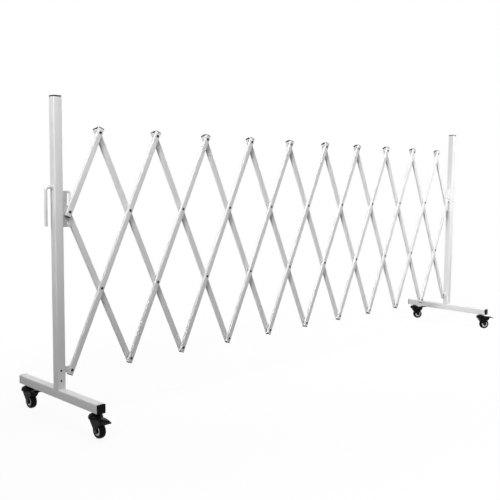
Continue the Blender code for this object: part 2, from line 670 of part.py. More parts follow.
def hub_mesh():
    """Hub about its axle, with a boss at each side."""
    radius = bore(AXLE_RADIUS, HUB_SIDES)
    face = TYRE_WIDTH / 2 - HUB_RECESS
    boss = TYRE_WIDTH / 2 + WHEEL_SIDE_GAP - FIT
    profile = [(radius, -boss), (HUB_BOSS, -boss), (HUB_BOSS, -face), (HUB_RADIUS, -face),
               (HUB_RADIUS, face), (HUB_BOSS, face), (HUB_BOSS, boss), (radius, boss)]
    return across(turned("hub", profile, HUB_SIDES, hollow=True))


def casters(parent, name, turn, shapes, finishes):
    """Front and rear caster under one beam."""
    black, rubber, grey, steel = finishes
    for end, y in (("front", -CASTER_SPREAD / 2), ("rear", CASTER_SPREAD / 2)):
        label = f"{name}_{end}"
        piece(label + "_caster_stem", shapes["stem"], steel, parent, (0, y, 0), smooth=True)
        swivel = empty(label + "_swivel", parent, (0, y, 0), turn)
        piece(label + "_caster_fork", shapes["fork"], black, swivel, smooth=True)
        lift = -PEDAL_LIFT if PEDALS_UP[end] else 0
        piece(label + "_brake_pedal", shapes["pedal"], black, swivel, (PEDAL_PIN[0], 0, PEDAL_PIN[1]), lift)
        axle = empty(label + "_axle", swivel, (TRAIL, 0, WHEEL_RADIUS))
        piece(label + "_tyre", shapes["tyre"], rubber, axle, smooth=True)
        piece(label + "_wheel_hub", shapes["hub"], grey, axle, smooth=True)


def build_barrier():
    """The whole barrier, standing open."""
    clear_scene()
    paint = material("white_powder_coat", (0.80, 0.80, 0.79), 0.42)
    black = material("black_plastic", (0.018, 0.018, 0.020), 0.45)
    rubber = material("tyre_rubber", (0.022, 0.022, 0.023), 0.6)
    grey = material("grey_hub_plastic", (0.42, 0.42, 0.41), 0.5)
    steel = material("blackened_steel", (0.045, 0.045, 0.048), 0.4, 0.8)
    barrier = empty("barrier", None, -BOX_CENTRE)
    lattice(barrier, paint)
    shapes = {"stem": stem_mesh(), "fork": fork_mesh(), "pedal": pedal_mesh(), "tyre": tyre_mesh(),
              "hub": hub_mesh()}
    for name, side, turn in (("left", 1, LEFT_CASTER_TURN), ("right", -1, RIGHT_CASTER_TURN)):
        stand = empty(name + "_stand", barrier, (-side * POST_X, 0, 0))
        post(stand, name, paint, black)
        foot_beam(stand, name, paint, black)
        slot_bracket(stand, name, side, paint)
        pivot_bracket(stand, name, side, paint)
        casters(stand, name, turn, shapes, (black, rubber, grey, steel))
        if side > 0:
            coupling_hook(stand, paint)
        else:
            receiver_eyes(stand, paint)


build_barrier()
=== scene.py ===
"""Expandable safety barrier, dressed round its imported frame.

Metres, +Z up. X runs along the lattice, and the front layer of slats lies at -Y.
"""
import json
import math

import bmesh
import bpy
from bpy.props import FloatProperty, FloatVectorProperty, IntProperty, PointerProperty
from bpy.types import Operator, Panel, PropertyGroup
from mathutils import Matrix, Vector


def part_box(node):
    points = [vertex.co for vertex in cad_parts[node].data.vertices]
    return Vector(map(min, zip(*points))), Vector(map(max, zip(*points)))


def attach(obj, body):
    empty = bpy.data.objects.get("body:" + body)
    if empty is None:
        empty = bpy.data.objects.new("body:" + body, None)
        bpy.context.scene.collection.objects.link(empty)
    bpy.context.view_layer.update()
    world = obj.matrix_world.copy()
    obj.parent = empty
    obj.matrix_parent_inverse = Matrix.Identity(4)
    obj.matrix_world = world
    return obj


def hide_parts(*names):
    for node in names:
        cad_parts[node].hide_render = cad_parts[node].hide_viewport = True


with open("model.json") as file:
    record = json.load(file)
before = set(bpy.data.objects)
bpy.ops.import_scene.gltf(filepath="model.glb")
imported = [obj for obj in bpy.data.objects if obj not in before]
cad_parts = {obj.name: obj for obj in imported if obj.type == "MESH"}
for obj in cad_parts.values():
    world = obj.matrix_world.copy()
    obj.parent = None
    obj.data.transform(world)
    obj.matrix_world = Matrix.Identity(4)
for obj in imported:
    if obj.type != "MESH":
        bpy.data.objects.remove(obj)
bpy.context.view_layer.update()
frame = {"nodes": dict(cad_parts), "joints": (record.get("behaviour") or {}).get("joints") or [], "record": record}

bl_info = {
    "name": "Expandable Safety Barrier",
    "version": (1, 0, 0),
    "blender": (4, 5, 0),
    "location": "View3D > Sidebar > Barrier",
    "description": "Dresses the frame of a folding lattice barrier on casters",
    "category": "Add Mesh",
}

# Sizes that the frame's solids have
PIVOT_PITCH = 0.290
HALF_CELL = 0.1207
COLUMNS = 20
ROWS = 4
BOTTOM_ROW = 0.167
PIVOT_OUTSTAND = 0.0415
LEAN = math.asin(HALF_CELL / PIVOT_PITCH)
ROW_SPACING = PIVOT_PITCH * math.cos(LEAN)
LAYER_GAP = 0.003
PLATE = 0.0024
SLAT_TAIL = 0.015
FLANGE_WIDTH = 0.012
TAB_REACH = 0.0365
TAB_HEIGHT = 0.021
TAB_RISE = 0.0035
SLOT_BELOW = 0.0405
SLOT_ABOVE = 0.0625
SLOT_WIDTH = 0.0074
SLOT_PLATE_BELOW = 0.049
SLOT_PLATE_ABOVE = 0.0695
PLATE_CORNER = 0.007
HOOK_ROD = 0.0048
HOOK_STANDOFF = 0.02426       # the rod is rounder than the solid's, and as far out
HOOK_HEIGHT = 0.7755
HOOK_DROP = 0.1255
HOOK_BEND = 0.010
EYE_THICKNESS = 0.004
EYE_HOLE = 0.0065
EYE_RIM = 0.0045
EYE_CENTRE = 0.0220
TRAIL = 0.020
WHEEL_RADIUS = 0.025
WELL_WIDTH = 0.0234
FORK_WIDTH = 0.0294
HEAD_BOTTOM = 0.0604
HEAD_TOP = 0.0739
HEAD_RADIUS = 0.0235
FORK_FRONT = 0.018
FORK_SHOULDER = 0.060
FORK_WEB_BOTTOM = 0.050
FORK_BOSS = 0.008
FORK_EAR = ((0.0275, 0.0370), (0.0310, 0.0430), (0.0410, 0.0490), (0.0455, 0.0570),
            (0.0430, 0.0630))
POCKET_START = 0.0255
PEDAL_PIN = (0.033, 0.0575)
PEDAL_UPPER = ((0.0280, 0.0668), (0.0420, 0.0660), (0.0560, 0.0640), (0.0660, 0.0610),
               (0.0705, 0.0580))
PEDAL_UNDER = ((0.0702, 0.0565), (0.0685, 0.0560), (0.0635, 0.0588), (0.0540, 0.0600),
               (0.0455, 0.0580), (0.0420, 0.0530))
PEDAL_HEEL = (0.0280, 0.0540)
SHOE_REACH = 0.0259
SHOE_ARC = (math.radians(44), math.radians(62))
BEAM_BOTTOM = 0.080
FIT = 0.0003

# Fine detail of this file's own
SKIN = 0.0001                 # between a fastener and what it holds
SMOOTH_ANGLE = math.radians(35)
FOOT_GROOVE = 0.0006          # under a post, besides the fit
OVERRUN = 0.002               # how far a cutter passes the faces that it cuts
WELL_GAP = 0.0025             # between a tyre and its fork
STEM_ROOM = 0.0081            # radius of the hollow under a fork's dome
BOSS_START = 0.0005           # from the wheel's well to where a boss begins
BOSS_PROUD = 0.0009           # how far a boss stands out of its cheek
RIB_MARGIN = 0.0015           # from the grip ribs to the bend and the sides of the pedal
RIB_SINK = 0.0003             # how deep the middles of the ribs lie

SIDES = {"left": 1, "right": -1}          # way along X from a post to the lattice
PAINT, PLASTIC, STEEL = "white_powder_coat", "black_plastic", "blackened_steel"
RUBBER, HUB = "tyre_rubber", "grey_hub_plastic"


def moved(*place):
    """Matrix that moves by a vector, or by three numbers."""
    return Matrix.Translation(place if len(place) > 1 else place[0])


def turned(angle, axis):
    """Matrix that turns about an axis."""
    return Matrix.Rotation(angle, 4, axis)


UPRIGHT = turned(math.pi / 2, "X")        # stands up what was turned about Y


def middle(node):
    """Centre of a CAD node's box."""
    low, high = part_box(node)
    return (low + high) / 2


POST_AXIS = {side: Vector((*middle(side + "_post").xy, 0)) for side in SIDES}
POST_HALF = (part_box("left_post")[1].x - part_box("left_post")[0].x) / 2


def pivot_place(column, row):
    """Where a pivot stands; rows count down from 0 at the top."""
    start = POST_AXIS["left"]
    return Vector((start.x + PIVOT_OUTSTAND + column * HALF_CELL, start.y,
                   BOTTOM_ROW + (ROWS - 1 - row) * ROW_SPACING))


def slats():
    """Each slat's name, the way it leans, its matrix and its pivots as (height, column, row)."""
    for layer, way in (("front", 1), ("back", -1)):
        for number in range(1, COLUMNS // 2 + 2):
            bottom = 2 * (number - 2) if way > 0 else 2 * number
            pivots = [(rise * PIVOT_PITCH, bottom + way * rise, ROWS - 1 - rise)
                      for rise in range(ROWS)]
            pivots = [pivot for pivot in pivots if 0 <= pivot[1] <= COLUMNS]
            matrix = moved(pivot_place(bottom, ROWS - 1)) @ turned(way * LEAN, "Y")
            yield f"{layer}_slat_{number:02d}", way, matrix, pivots


def into_layer(way):
    """From the plane between the layers to the middle of the one that leans this way."""
    depth = bpy.context.scene.barrier_tubes.slat_depth
    return moved(0, -way * (LAYER_GAP + depth) / 2, 0)


# Settings


def length(name, description, default):
    """A size in metres."""
    return FloatProperty(name=name, description=description, default=default, min=0.0,
                         precision=5, unit="LENGTH")


def count(name, description, default):
    """A whole number of facets or copies."""
    return IntProperty(name=name, description=description, default=default, min=1, max=256)


def colour(name, description, default):
    """A linear colour."""
    return FloatVectorProperty(name=name, description=description, default=default, size=3,
                               min=0.0, max=1.0, subtype="COLOR")


def share(name, description, default):
    """A number from 0 to 1."""
    return FloatProperty(name=name, description=description, default=default, min=0.0, max=1.0,
                         subtype="FACTOR")


class TubeSettings(PropertyGroup):
    """Sections of the slats, posts and beams."""
    slat_width: length("Slat width", "Outside, along the lattice", 0.020)
    slat_depth: length("Slat depth", "Outside, through the lattice", 0.010)
    slat_wall: length("Slat wall", "Sheet that the slats are rolled from", 0.0012)
    slat_corner: length("Slat corner", "Outer radius of a slat's corners", 0.0016)
    post_size: length("Post size", "Outside of the square tube of posts and beams", 0.030)
    post_wall: length("Post wall", "Sheet that posts and beams are rolled from", 0.0015)
    post_corner: length("Post corner", "Outer radius of the square tube", 0.003)
    corner_steps: count("Corner steps", "Facets in a tube's corner", 6)


class FastenerSettings(PropertyGroup):
    """Rivets and screws."""
    head_radius: length("Rivet head", "Radius of a rivet's domed head", 0.0050)
    head_height: length("Rivet dome", "Height of a rivet's domed head", 0.0024)
    tail_radius: length("Rivet tail", "Radius of a rivet's set end", 0.0045)
    tail_height: length("Tail height", "Height of a rivet's set end", 0.0018)
    shank_radius: length("Shank", "Radius of a rivet between its ends", 0.0029)
    washer_radius: length("Washer", "Radius of the washer between two slats", 0.0078)
    screw_radius: length("Screw head", "Radius of a screw's head", 0.0036)
    screw_height: length("Screw dome", "Height of a screw's head", 0.0016)
    recess_width: length("Recess width", "Width of a screw's cross recess", 0.0009)
    sides: count("Fastener sides", "Facets round a rivet or screw", 24)


class PlasticSettings(PropertyGroup):
    """End plugs and post caps."""
    slat_plug: length("Slat plug", "Thickness of the flange on a slat's end", 0.0022)
    slat_plug_depth: length("Slat plug depth", "How far a plug goes into a slat", 0.009)
    post_plug_depth: length("Post plug depth", "How far a plug goes into a post or beam", 0.014)
    edge: length("Plug edge", "Rounding of a flange's rim", 0.0005)


class LinkSettings(PropertyGroup):
    """The hook, the eyes and their welds."""
    rod_sides: count("Rod sides", "Facets round the hook's bar", 24)
    edge: length("Plate edge", "Rounding of cut plate", 0.0004)
    bead: length("Weld bead", "Radius of a weld's ripples", 0.0016)
    bead_pitch: length("Bead pitch", "From one ripple of a weld to the next", 0.0013)


class CasterSettings(PropertyGroup):
    """The wheels and their moulded forks."""
    wheel_sides: count("Wheel sides", "Facets round a wheel", 72)
    voxel: length("Mould grid", "Grid on which the fork's mould is rounded", 0.0006)
    keep: share("Mould detail", "Share of the fork's faces that are kept", 0.3)
    rib_count: count("Pedal ribs", "Raised grip ribs on a pedal", 3)
    rib_pitch: length("Rib pitch", "From one grip rib to the next", 0.0042)
    rib_height: length("Rib height", "How far a grip rib stands up", 0.0009)


class FinishSettings(PropertyGroup):
    """Colours of the finishes."""
    paint: colour("Powder coat", "White of the posts and slats", (0.80, 0.80, 0.80))
    plastic: colour("Black plastic", "Plugs, forks and pedals", (0.002, 0.002, 0.002))
    rubber: colour("Tyre", "Tread and side walls", (0.003, 0.003, 0.003))
    hub: colour("Hub", "Moulded wheel centre", (0.82, 0.82, 0.81))
    steel: colour("Dark steel", "Rivets, screws, nuts and axles", (0.045, 0.045, 0.048))


class StageSettings(PropertyGroup):
    """Camera, floor and lamps."""
    lens: FloatProperty(name="Lens", description="Focal length on a 36 mm sensor",
                        default=52.67, min=1.0, precision=3)
    floor: colour("Floor", "What the floor throws back on the object", (0.12, 0.12, 0.12))
    shadow: share("Shadow", "How much of the object's shadow shows on the floor", 0.08)
    sky: share("Sky", "Strength of the even light", 0.306)


# Meshes


def skinned(name, loops, ring=False, capped=True):
    """Solid between loops of points, the last joined to the first in a ring."""
    shape = bmesh.new()
    rows = [[shape.verts.new(point) for point in loop] for loop in loops]
    for near, far in zip(rows, rows[1:] + (rows[:1] if ring else [])):
        for side in range(max(len(near), len(far))):
            corners = (near[side % len(near)], near[(side + 1) % len(near)],
                       far[(side + 1) % len(far)], far[side % len(far)])
            shape.faces.new(list(dict.fromkeys(corners)))
    if capped:
        shape.faces.new(rows[0])
        shape.faces.new(rows[-1])
    bmesh.ops.recalc_face_normals(shape, faces=shape.faces)
    mesh = bpy.data.meshes.new(name)
    shape.to_mesh(mesh)
    shape.free()
    return mesh


def lathe(name, profile, sides, ring=False):
    """Turned about Y from (radius, y) points; a ring's profile closes on itself."""
    loops = []
    for radius, along in profile:
        angles = [2 * math.pi * (point + 0.5) / sides for point in range(sides if radius else 1)]
        loops.append([(radius * math.cos(angle), along, radius * math.sin(angle))
                      for angle in angles])
    return skinned(name, loops, ring, capped=False)


def drum(radius, start, end, sides):
    """Plain cylinder about Y."""
    return lathe("drum", [(0, start), (radius, start), (radius, end), (0, end)], sides)


def dome(radius, height, seat, steps):
    """Profile of a domed head that stands towards -Y from its seat, crown first."""
    angles = [math.pi / 2 * step / steps for step in range(steps + 1)]
    return [(radius * math.sin(angle), seat - height * math.cos(angle)) for angle in angles]


def prism(name, outline, start, end, axis="Y"):
    """Outline of (a, b) points pushed out from start to end along Y, or along Z."""
    return skinned(name, [[(a, level, b) if axis == "Y" else (a, b, level) for a, b in outline]
                          for level in (start, end)])


def block(name, low, high):
    """Block between two corners."""
    outline = ((low[0], low[2]), (high[0], low[2]), (high[0], high[2]), (low[0], high[2]))
    return prism(name, outline, low[1], high[1])


def arc(centre, radius, start, end, steps):
    """Points of an arc in a plane, angles in radians."""
    angles = [start + (end - start) * step / steps for step in range(steps + 1)]
    return [(centre[0] + radius * math.cos(angle), centre[1] + radius * math.sin(angle))
            for angle in angles]


def rounded_rectangle(width, depth, radius, steps):
    """Corner points of a rounded rectangle about the origin."""
    points = []
    for quarter, (sx, sy) in enumerate(((1, 1), (-1, 1), (-1, -1), (1, -1))):
        centre = (sx * (width / 2 - radius), sy * (depth / 2 - radius))
        points += arc(centre, radius, math.pi / 2 * quarter, math.pi / 2 * (quarter + 1), steps)
    return points


def stack(name, levels, steps):
    """Solid of rounded rectangles; levels are (z, width, depth, corner radius)."""
    return skinned(name, [[(x, y, height) for x, y in rounded_rectangle(*sizes, steps)]
                          for height, *sizes in levels])


def points_mesh(name, points, edges=(), **values):
    """Loose points, with edges where they make a path, and named numbers for a node tree."""
    mesh = bpy.data.meshes.new(name)
    mesh.from_pydata([tuple(point) for point in points], list(edges), [])
    for label, numbers in values.items():
        kind = "INT" if isinstance(numbers[0], int) else "FLOAT"
        mesh.attributes.new(label, kind, "POINT").data.foreach_set("value", numbers)
    return mesh


def scratch(name, mesh):
    """New object of a mesh, in the scene."""
    made = bpy.data.objects.new(name, mesh)
    bpy.context.scene.collection.objects.link(made)
    return made


def settled(made):
    """Plain mesh of an object as its modifiers leave it; the object goes."""
    graph = bpy.context.evaluated_depsgraph_get()
    mesh = bpy.data.meshes.new_from_object(made.evaluated_get(graph))
    bpy.data.objects.remove(made)
    return mesh


def modify(made, kind, **settings):
    """Add a modifier with its settings."""
    modifier = made.modifiers.new(kind.lower(), kind)
    for label, value in settings.items():
        setattr(modifier, label, value)
    return modifier


def carved(name, base, steps=(), edge=0.0, segments=2):
    """Mesh after boolean steps, each ("UNION" or "DIFFERENCE", mesh), with its edges rounded."""
    body = scratch(name, base)
    helpers = [scratch(name + "_cutter", mesh) for operation, mesh in steps]
    for (operation, mesh), helper in zip(steps, helpers):
        modify(body, "BOOLEAN", operation=operation, solver="EXACT", object=helper)
    if edge:
        modify(body, "BEVEL", width=edge, segments=segments, limit_method="ANGLE",
               angle_limit=SMOOTH_ANGLE)
    mesh = settled(body)
    for helper in helpers:
        bpy.data.objects.remove(helper)
    return mesh


def placed(mesh, *matrices):
    """Copy of a mesh, turned right side out where the matrices mirror it."""
    made = mesh.copy()
    whole = Matrix.Identity(4)
    for matrix in matrices:
        whole = whole @ matrix
    made.transform(whole)
    if whole.determinant() < 0:
        made.flip_normals()
    return made


def joined(name, meshes):
    """One mesh from several."""
    shape = bmesh.new()
    for mesh in meshes:
        shape.from_mesh(mesh)
    made = bpy.data.meshes.new(name)
    shape.to_mesh(made)
    shape.free()
    return made


def dressed(name, mesh, slot, body, *replaced):
    """Finished piece that rides on a body and takes its finish from a slot."""
    made = scratch(name, mesh)
    mesh.name = name
    mesh.materials.clear()
    mesh.materials.append(finish(slot))
    mesh.shade_smooth()
    mesh.set_sharp_from_angle(angle=SMOOTH_ANGLE)
    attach(made, body)
    if replaced:
        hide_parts(*replaced)


# Node trees

TREES = {}


def tree_named(maker):
    """A tree, built the first time that it is asked for."""
    if maker not in TREES:
        TREES[maker] = maker()
    return TREES[maker]


def feed(tree, node, inputs):
    """Set a node's inputs, each to a value or from the sockets that feed it."""
    for label, value in dict(inputs).items():
        socket = node.inputs[label]
        for source in value if isinstance(value, list) else [value]:
            if isinstance(source, bpy.types.NodeSocket):
                tree.links.new(source, socket)
            else:
                socket.default_value = source


def add(tree, kind, inputs=(), **settings):
    """Outputs of a new node with its settings and its inputs."""
    made = tree.nodes.new(kind)
    for label, value in settings.items():
        setattr(made, label, value)
    feed(tree, made, inputs)
    return made.outputs


def geo(tree, kind, inputs=(), output=0, **settings):
    """One output of a Geometry Nodes node."""
    return add(tree, "GeometryNode" + kind, inputs, **settings)[output]


def shade(tree, kind, inputs=(), output=0, **settings):
    """One output of a shader or utility node."""
    return add(tree, "ShaderNode" + kind, inputs, **settings)[output]


def maths(tree, operation, first, second=0.0):
    """Output of a Math node."""
    return shade(tree, "Math", {0: first, 1: second}, operation=operation)


def ranged(tree, value, low=0.0, high=1.0, new_low=0.0, new_high=1.0):
    """A value taken from one range to another."""
    return shade(tree, "MapRange", {"Value": value, "From Min": low, "From Max": high,
                                    "To Min": new_low, "To Max": new_high})


def new_tree(name, kind, inputs, outputs):
    """Empty tree, what it is given and its end node; inputs are (name, socket, default)."""
    tree = bpy.data.node_groups.new(name, kind)
    for label, socket, value in inputs:
        made = tree.interface.new_socket(label, in_out="INPUT", socket_type="NodeSocket" + socket)
        if value is not None:
            made.default_value = value
    for label, socket in outputs:
        tree.interface.new_socket(label, in_out="OUTPUT", socket_type="NodeSocket" + socket)
    return tree, tree.nodes.new("NodeGroupInput").outputs, tree.nodes.new("NodeGroupOutput")


def geometry_tree(name, *inputs):
    """Geometry Nodes tree that takes points or a path and gives a finished mesh."""
    return new_tree(name, "GeometryNodeTree",
                    [("Geometry", "Geometry", None), *inputs, ("Finish", "Material", None)],
                    [("Geometry", "Geometry")])


def on_points(tree, points, shape, **more):
    """A shape on every point."""
    return geo(tree, "InstanceOnPoints", {"Points": points, "Instance": shape, **more})


def close_tree(tree, given, result, *parts):
    """Realize the parts and give them their finish."""
    whole = geo(tree, "JoinGeometry", {"Geometry": list(parts)})
    real = geo(tree, "RealizeInstances", {"Geometry": whole})
    real = geo(tree, "SetMaterial", {"Geometry": real, "Material": given["Finish"]})
    feed(tree, result, {"Geometry": real})
    return tree


def grown(name, mesh, maker, slot, **values):
    """Plain mesh that a tree makes of a mesh, with its named inputs set."""
    made = scratch(name, mesh)
    tree = tree_named(maker)
    modifier = modify(made, "NODES", node_group=tree)
    wanted = {label.replace("_", " ").title(): value for label, value in values.items()}
    wanted["Finish"] = finish(slot)
    for socket in tree.interface.items_tree:
        if socket.item_type == "SOCKET" and socket.in_out == "INPUT" and socket.name in wanted:
            modifier[socket.identifier] = wanted[socket.name]
    return settled(made)


def tube_tree():
    """Rectangular tube along Z past its end points, drilled along Y at every point."""
    tree, given, result = geometry_tree(
        "drilled_tube", ("Width", "Float", 0.02), ("Depth", "Float", 0.01),
        ("Wall", "Float", 0.0012), ("Corner", "Float", 0.0016), ("Steps", "Int", 6),
        ("Tail", "Float", 0.015), ("Hole", "Float", 0.0031), ("Drilled", "Bool", True))
    height = shade(tree, "SeparateXYZ", {0: geo(tree, "InputPosition")}, "Z")
    span = add(tree, "GeometryNodeAttributeStatistic",
               {"Geometry": given["Geometry"], "Attribute": height})
    start = maths(tree, "SUBTRACT", span["Min"], given["Tail"])
    reach = maths(tree, "SUBTRACT", maths(tree, "ADD", span["Max"], given["Tail"]), start)
    double_wall = maths(tree, "MULTIPLY", given["Wall"], 2.0)
    inner = [maths(tree, "SUBTRACT", given["Width"], double_wall),
             maths(tree, "SUBTRACT", given["Depth"], double_wall),
             maths(tree, "SUBTRACT", given["Corner"], maths(tree, "MULTIPLY", given["Wall"], 0.9))]
    rings = []
    for width, depth, corner in ((given["Width"], given["Depth"], given["Corner"]), inner):
        outline = geo(tree, "CurvePrimitiveQuadrilateral", {"Width": width, "Height": depth})
        rings.append(geo(tree, "FilletCurve", {"Curve": outline, "Count": given["Steps"],
                                               "Radius": corner}, mode="POLY"))
    rim = geo(tree, "FillCurve", {"Curve": geo(tree, "JoinGeometry", {"Geometry": rings})})
    walls = geo(tree, "ExtrudeMesh", {"Mesh": rim, "Offset Scale": reach, "Individual": False},
                mode="FACES")
    foot = geo(tree, "FlipFaces", {"Mesh": rim})
    whole = geo(tree, "JoinGeometry", {"Geometry": [walls, foot]})
    whole = geo(tree, "MergeByDistance", {"Geometry": whole, "Distance": 1e-6})
    lift = shade(tree, "CombineXYZ", {"Z": start})
    whole = geo(tree, "Transform", {"Geometry": whole, "Translation": lift})
    drill = geo(tree, "MeshCylinder", {"Vertices": 24, "Radius": given["Hole"],
                                       "Depth": maths(tree, "MULTIPLY", given["Depth"], 2.0)})
    cutters = on_points(tree, given["Geometry"], drill, Rotation=(math.pi / 2, 0, 0))
    cutters = geo(tree, "RealizeInstances", {"Geometry": cutters})
    holed = geo(tree, "MeshBoolean", {"Mesh 1": whole, "Mesh 2": cutters}, operation="DIFFERENCE")
    return close_tree(tree, given, result, geo(
        tree, "Switch", {"Switch": given["Drilled"], "False": whole, "True": holed},
        input_type="GEOMETRY"))


def kinds_tree():
    """One of three shapes on every point, by the point's own number."""
    labels = ("First", "Second", "Third")
    tree, given, result = geometry_tree("fasteners_by_kind",
                                        *((label, "Object", None) for label in labels))
    kind = geo(tree, "InputNamedAttribute", {"Name": "kind"}, "Attribute", data_type="INT")
    parts = []
    for number, label in enumerate(labels):
        shape = geo(tree, "ObjectInfo", {"Object": given[label]}, "Geometry")
        chosen = add(tree, "FunctionNodeCompare", {"A": kind, "B": number}, data_type="INT",
                     operation="EQUAL")[0]
        parts.append(on_points(tree, given["Geometry"], shape, Selection=chosen))
    return close_tree(tree, given, result, *parts)


def row_tree():
    """The same shape on every point, turned about Y by the point's own angle."""
    tree, given, result = geometry_tree("shapes_in_a_row", ("Shape", "Object", None))
    turn = geo(tree, "InputNamedAttribute", {"Name": "turn"}, "Attribute", data_type="FLOAT")
    rotation = shade(tree, "CombineXYZ", {"Y": turn})
    shape = geo(tree, "ObjectInfo", {"Object": given["Shape"]}, "Geometry")
    row = on_points(tree, given["Geometry"], shape, Rotation=rotation)
    return close_tree(tree, given, result, row)


def bar_tree():
    """Round bar along a path, its corners bent."""
    tree, given, result = geometry_tree(
        "bent_bar", ("Radius", "Float", 0.005), ("Bend", "Float", 0.01),
        ("Bend Steps", "Int", 12), ("Sides", "Int", 24))
    path = geo(tree, "MeshToCurve", {"Mesh": given["Geometry"]})
    bent = geo(tree, "FilletCurve", {"Curve": path, "Count": given["Bend Steps"],
                                     "Radius": given["Bend"]}, mode="POLY")
    section = geo(tree, "CurvePrimitiveCircle", {"Resolution": given["Sides"],
                                                 "Radius": given["Radius"]})
    return close_tree(tree, given, result, geo(
        tree, "CurveToMesh", {"Curve": bent, "Profile Curve": section, "Fill Caps": True}))


def bead_tree():
    """Weld bead: overlapping ripples along a path, each a little different."""
    tree, given, result = geometry_tree(
        "weld_bead", ("Radius", "Float", 0.0016), ("Pitch", "Float", 0.0013), ("Seed", "Int", 3))
    path = geo(tree, "MeshToCurve", {"Mesh": given["Geometry"]})
    points = geo(tree, "CurveToPoints", {"Curve": path, "Length": given["Pitch"]}, mode="LENGTH")
    ripple = geo(tree, "MeshIcoSphere", {"Radius": given["Radius"], "Subdivisions": 2})
    size = add(tree, "FunctionNodeRandomValue",
               {"Min": (0.85, 0.85, 0.85), "Max": (1.1, 1.1, 1.1), "Seed": given["Seed"]},
               data_type="FLOAT_VECTOR")[0]
    return close_tree(tree, given, result, on_points(tree, points, ripple, Scale=size))


def rib_tree():
    """Straight ribs side by side along X, across Y."""
    tree, given, result = geometry_tree(
        "grip_ribs", ("Count", "Int", 5), ("Pitch", "Float", 0.004),
        ("Length", "Float", 0.018), ("Height", "Float", 0.001))
    offset = shade(tree, "CombineXYZ", {"X": given["Pitch"]})
    line = geo(tree, "MeshLine", {"Count": given["Count"], "Offset": offset})
    spots = on_points(tree, given["Geometry"], line)
    spots = geo(tree, "RealizeInstances", {"Geometry": spots})
    rib = geo(tree, "MeshCylinder", {"Vertices": 12, "Radius": given["Height"],
                                     "Depth": given["Length"]})
    ribs = on_points(tree, spots, rib, Rotation=(math.pi / 2, 0, 0))
    return close_tree(tree, given, result, ribs)


# Finishes


def noise(tree, place, scale, detail=2.0):
    """Value of a Noise Texture."""
    return shade(tree, "TexNoise", {"Vector": place, "Scale": scale, "Detail": detail})


def grain_group():
    """Fine relief and the roughness that goes with it."""
    tree, given, result = new_tree(
        "surface_grain", "ShaderNodeTree",
        [("Vector", "Vector", None), ("Scale", "Float", 800.0), ("Roughness", "Float", 0.4),
         ("Spread", "Float", 0.08)],
        [("Height", "Float"), ("Roughness", "Float")])
    fine = noise(tree, given["Vector"], given["Scale"], 3.0)
    patches = noise(tree, given["Vector"], maths(tree, "DIVIDE", given["Scale"], 45.0))
    shift = maths(tree, "MULTIPLY", maths(tree, "SUBTRACT", patches, 0.5), given["Spread"])
    feed(tree, result, {"Height": fine,
                        "Roughness": maths(tree, "ADD", given["Roughness"], shift)})
    return tree


def tone_group():
    """A colour that drifts slowly towards another, with a few fine specks of it."""
    tree, given, result = new_tree(
        "tone_drift", "ShaderNodeTree",
        [("Vector", "Vector", None), ("Colour", "Color", None), ("Deep", "Color", None),
         ("Scale", "Float", 6.0), ("Speck Scale", "Float", 900.0), ("Specks", "Float", 0.3)],
        [("Colour", "Color")])
    slow = noise(tree, given["Vector"], given["Scale"], 3.0)
    fast = noise(tree, given["Vector"], given["Speck Scale"])
    speck = ranged(tree, fast, 0.66, 0.72, new_high=given["Specks"])
    amount = maths(tree, "MAXIMUM", ranged(tree, slow, 0.35, 0.7), speck)
    # By number, as a Mix node has one A and one B for each kind of data.
    feed(tree, result, {"Colour": shade(
        tree, "Mix", {0: amount, 6: given["Colour"], 7: given["Deep"]}, 2, data_type="RGBA")})
    return tree


MADE_FINISHES = {}

# The finish of each slot: its material's name, the setting that holds its tint, how bright the
# tint that it drifts to is beside it, its roughness and how far that varies, its grain, the
# relief of that, how fast the tone drifts, and what else differs.
FINISHES = {
    # Orange peel of about a millimetre, and a slight drift of tone
    PAINT: ("powder_coat", "paint", 0.94, 0.40, 0.10, 700.0, 0.00006, 4.0, {}),
    # A fine spark-eroded grain
    PLASTIC: ("moulded_plastic", "plastic", 3.0, 0.26, 0.16, 1600.0, 0.00004, 60.0,
              {"specular": 0.07}),
    # A little dusty
    RUBBER: ("tyre_tread", "rubber", 2.4, 0.42, 0.2, 1200.0, 0.00005, 80.0,
             {"specks": 0.5, "specular": 0.06}),
    HUB: ("hub_moulding", "hub", 0.8, 0.4, 0.14, 1500.0, 0.00003, 70.0, {}),
    # Drawn lines
    STEEL: ("dark_steel", "steel", 0.6, 0.38, 0.2, 1100.0, 0.00003, 90.0,
            {"metallic": 0.8, "stretch": (1, 6, 1)}),
}


def new_finish(name, setting, depth, roughness, spread, grain, relief, drift, specks=0.2,
               metallic=0.0, specular=0.5, stretch=(1, 1, 1)):
    """Material of one tint that drifts to another, over a fine grain."""
    tint = tuple(getattr(bpy.context.scene.barrier_finish, setting))
    deep = tuple(channel * depth for channel in tint)
    made = bpy.data.materials.new(name)
    made.use_nodes = True
    made.diffuse_color = (*tint, 1)
    tree = made.node_tree
    place = shade(tree, "TexCoord", (), "Object")
    grained = shade(tree, "Mapping", {"Vector": place, "Scale": stretch})
    tone = shade(tree, "Group", {"Vector": place, "Colour": (*tint, 1), "Deep": (*deep, 1),
                                 "Scale": drift, "Speck Scale": grain, "Specks": specks},
                 node_tree=tree_named(tone_group))
    surface = add(tree, "ShaderNodeGroup", {"Vector": grained, "Scale": grain,
                                            "Roughness": roughness, "Spread": spread},
                  node_tree=tree_named(grain_group))
    bump = shade(tree, "Bump", {"Height": surface["Height"], "Strength": 0.6,
                                "Distance": relief})
    feed(tree, tree.nodes["Principled BSDF"], {
        "Base Color": tone, "Roughness": surface["Roughness"], "Normal": bump,
        "Metallic": metallic, "Specular IOR Level": specular})
    return made


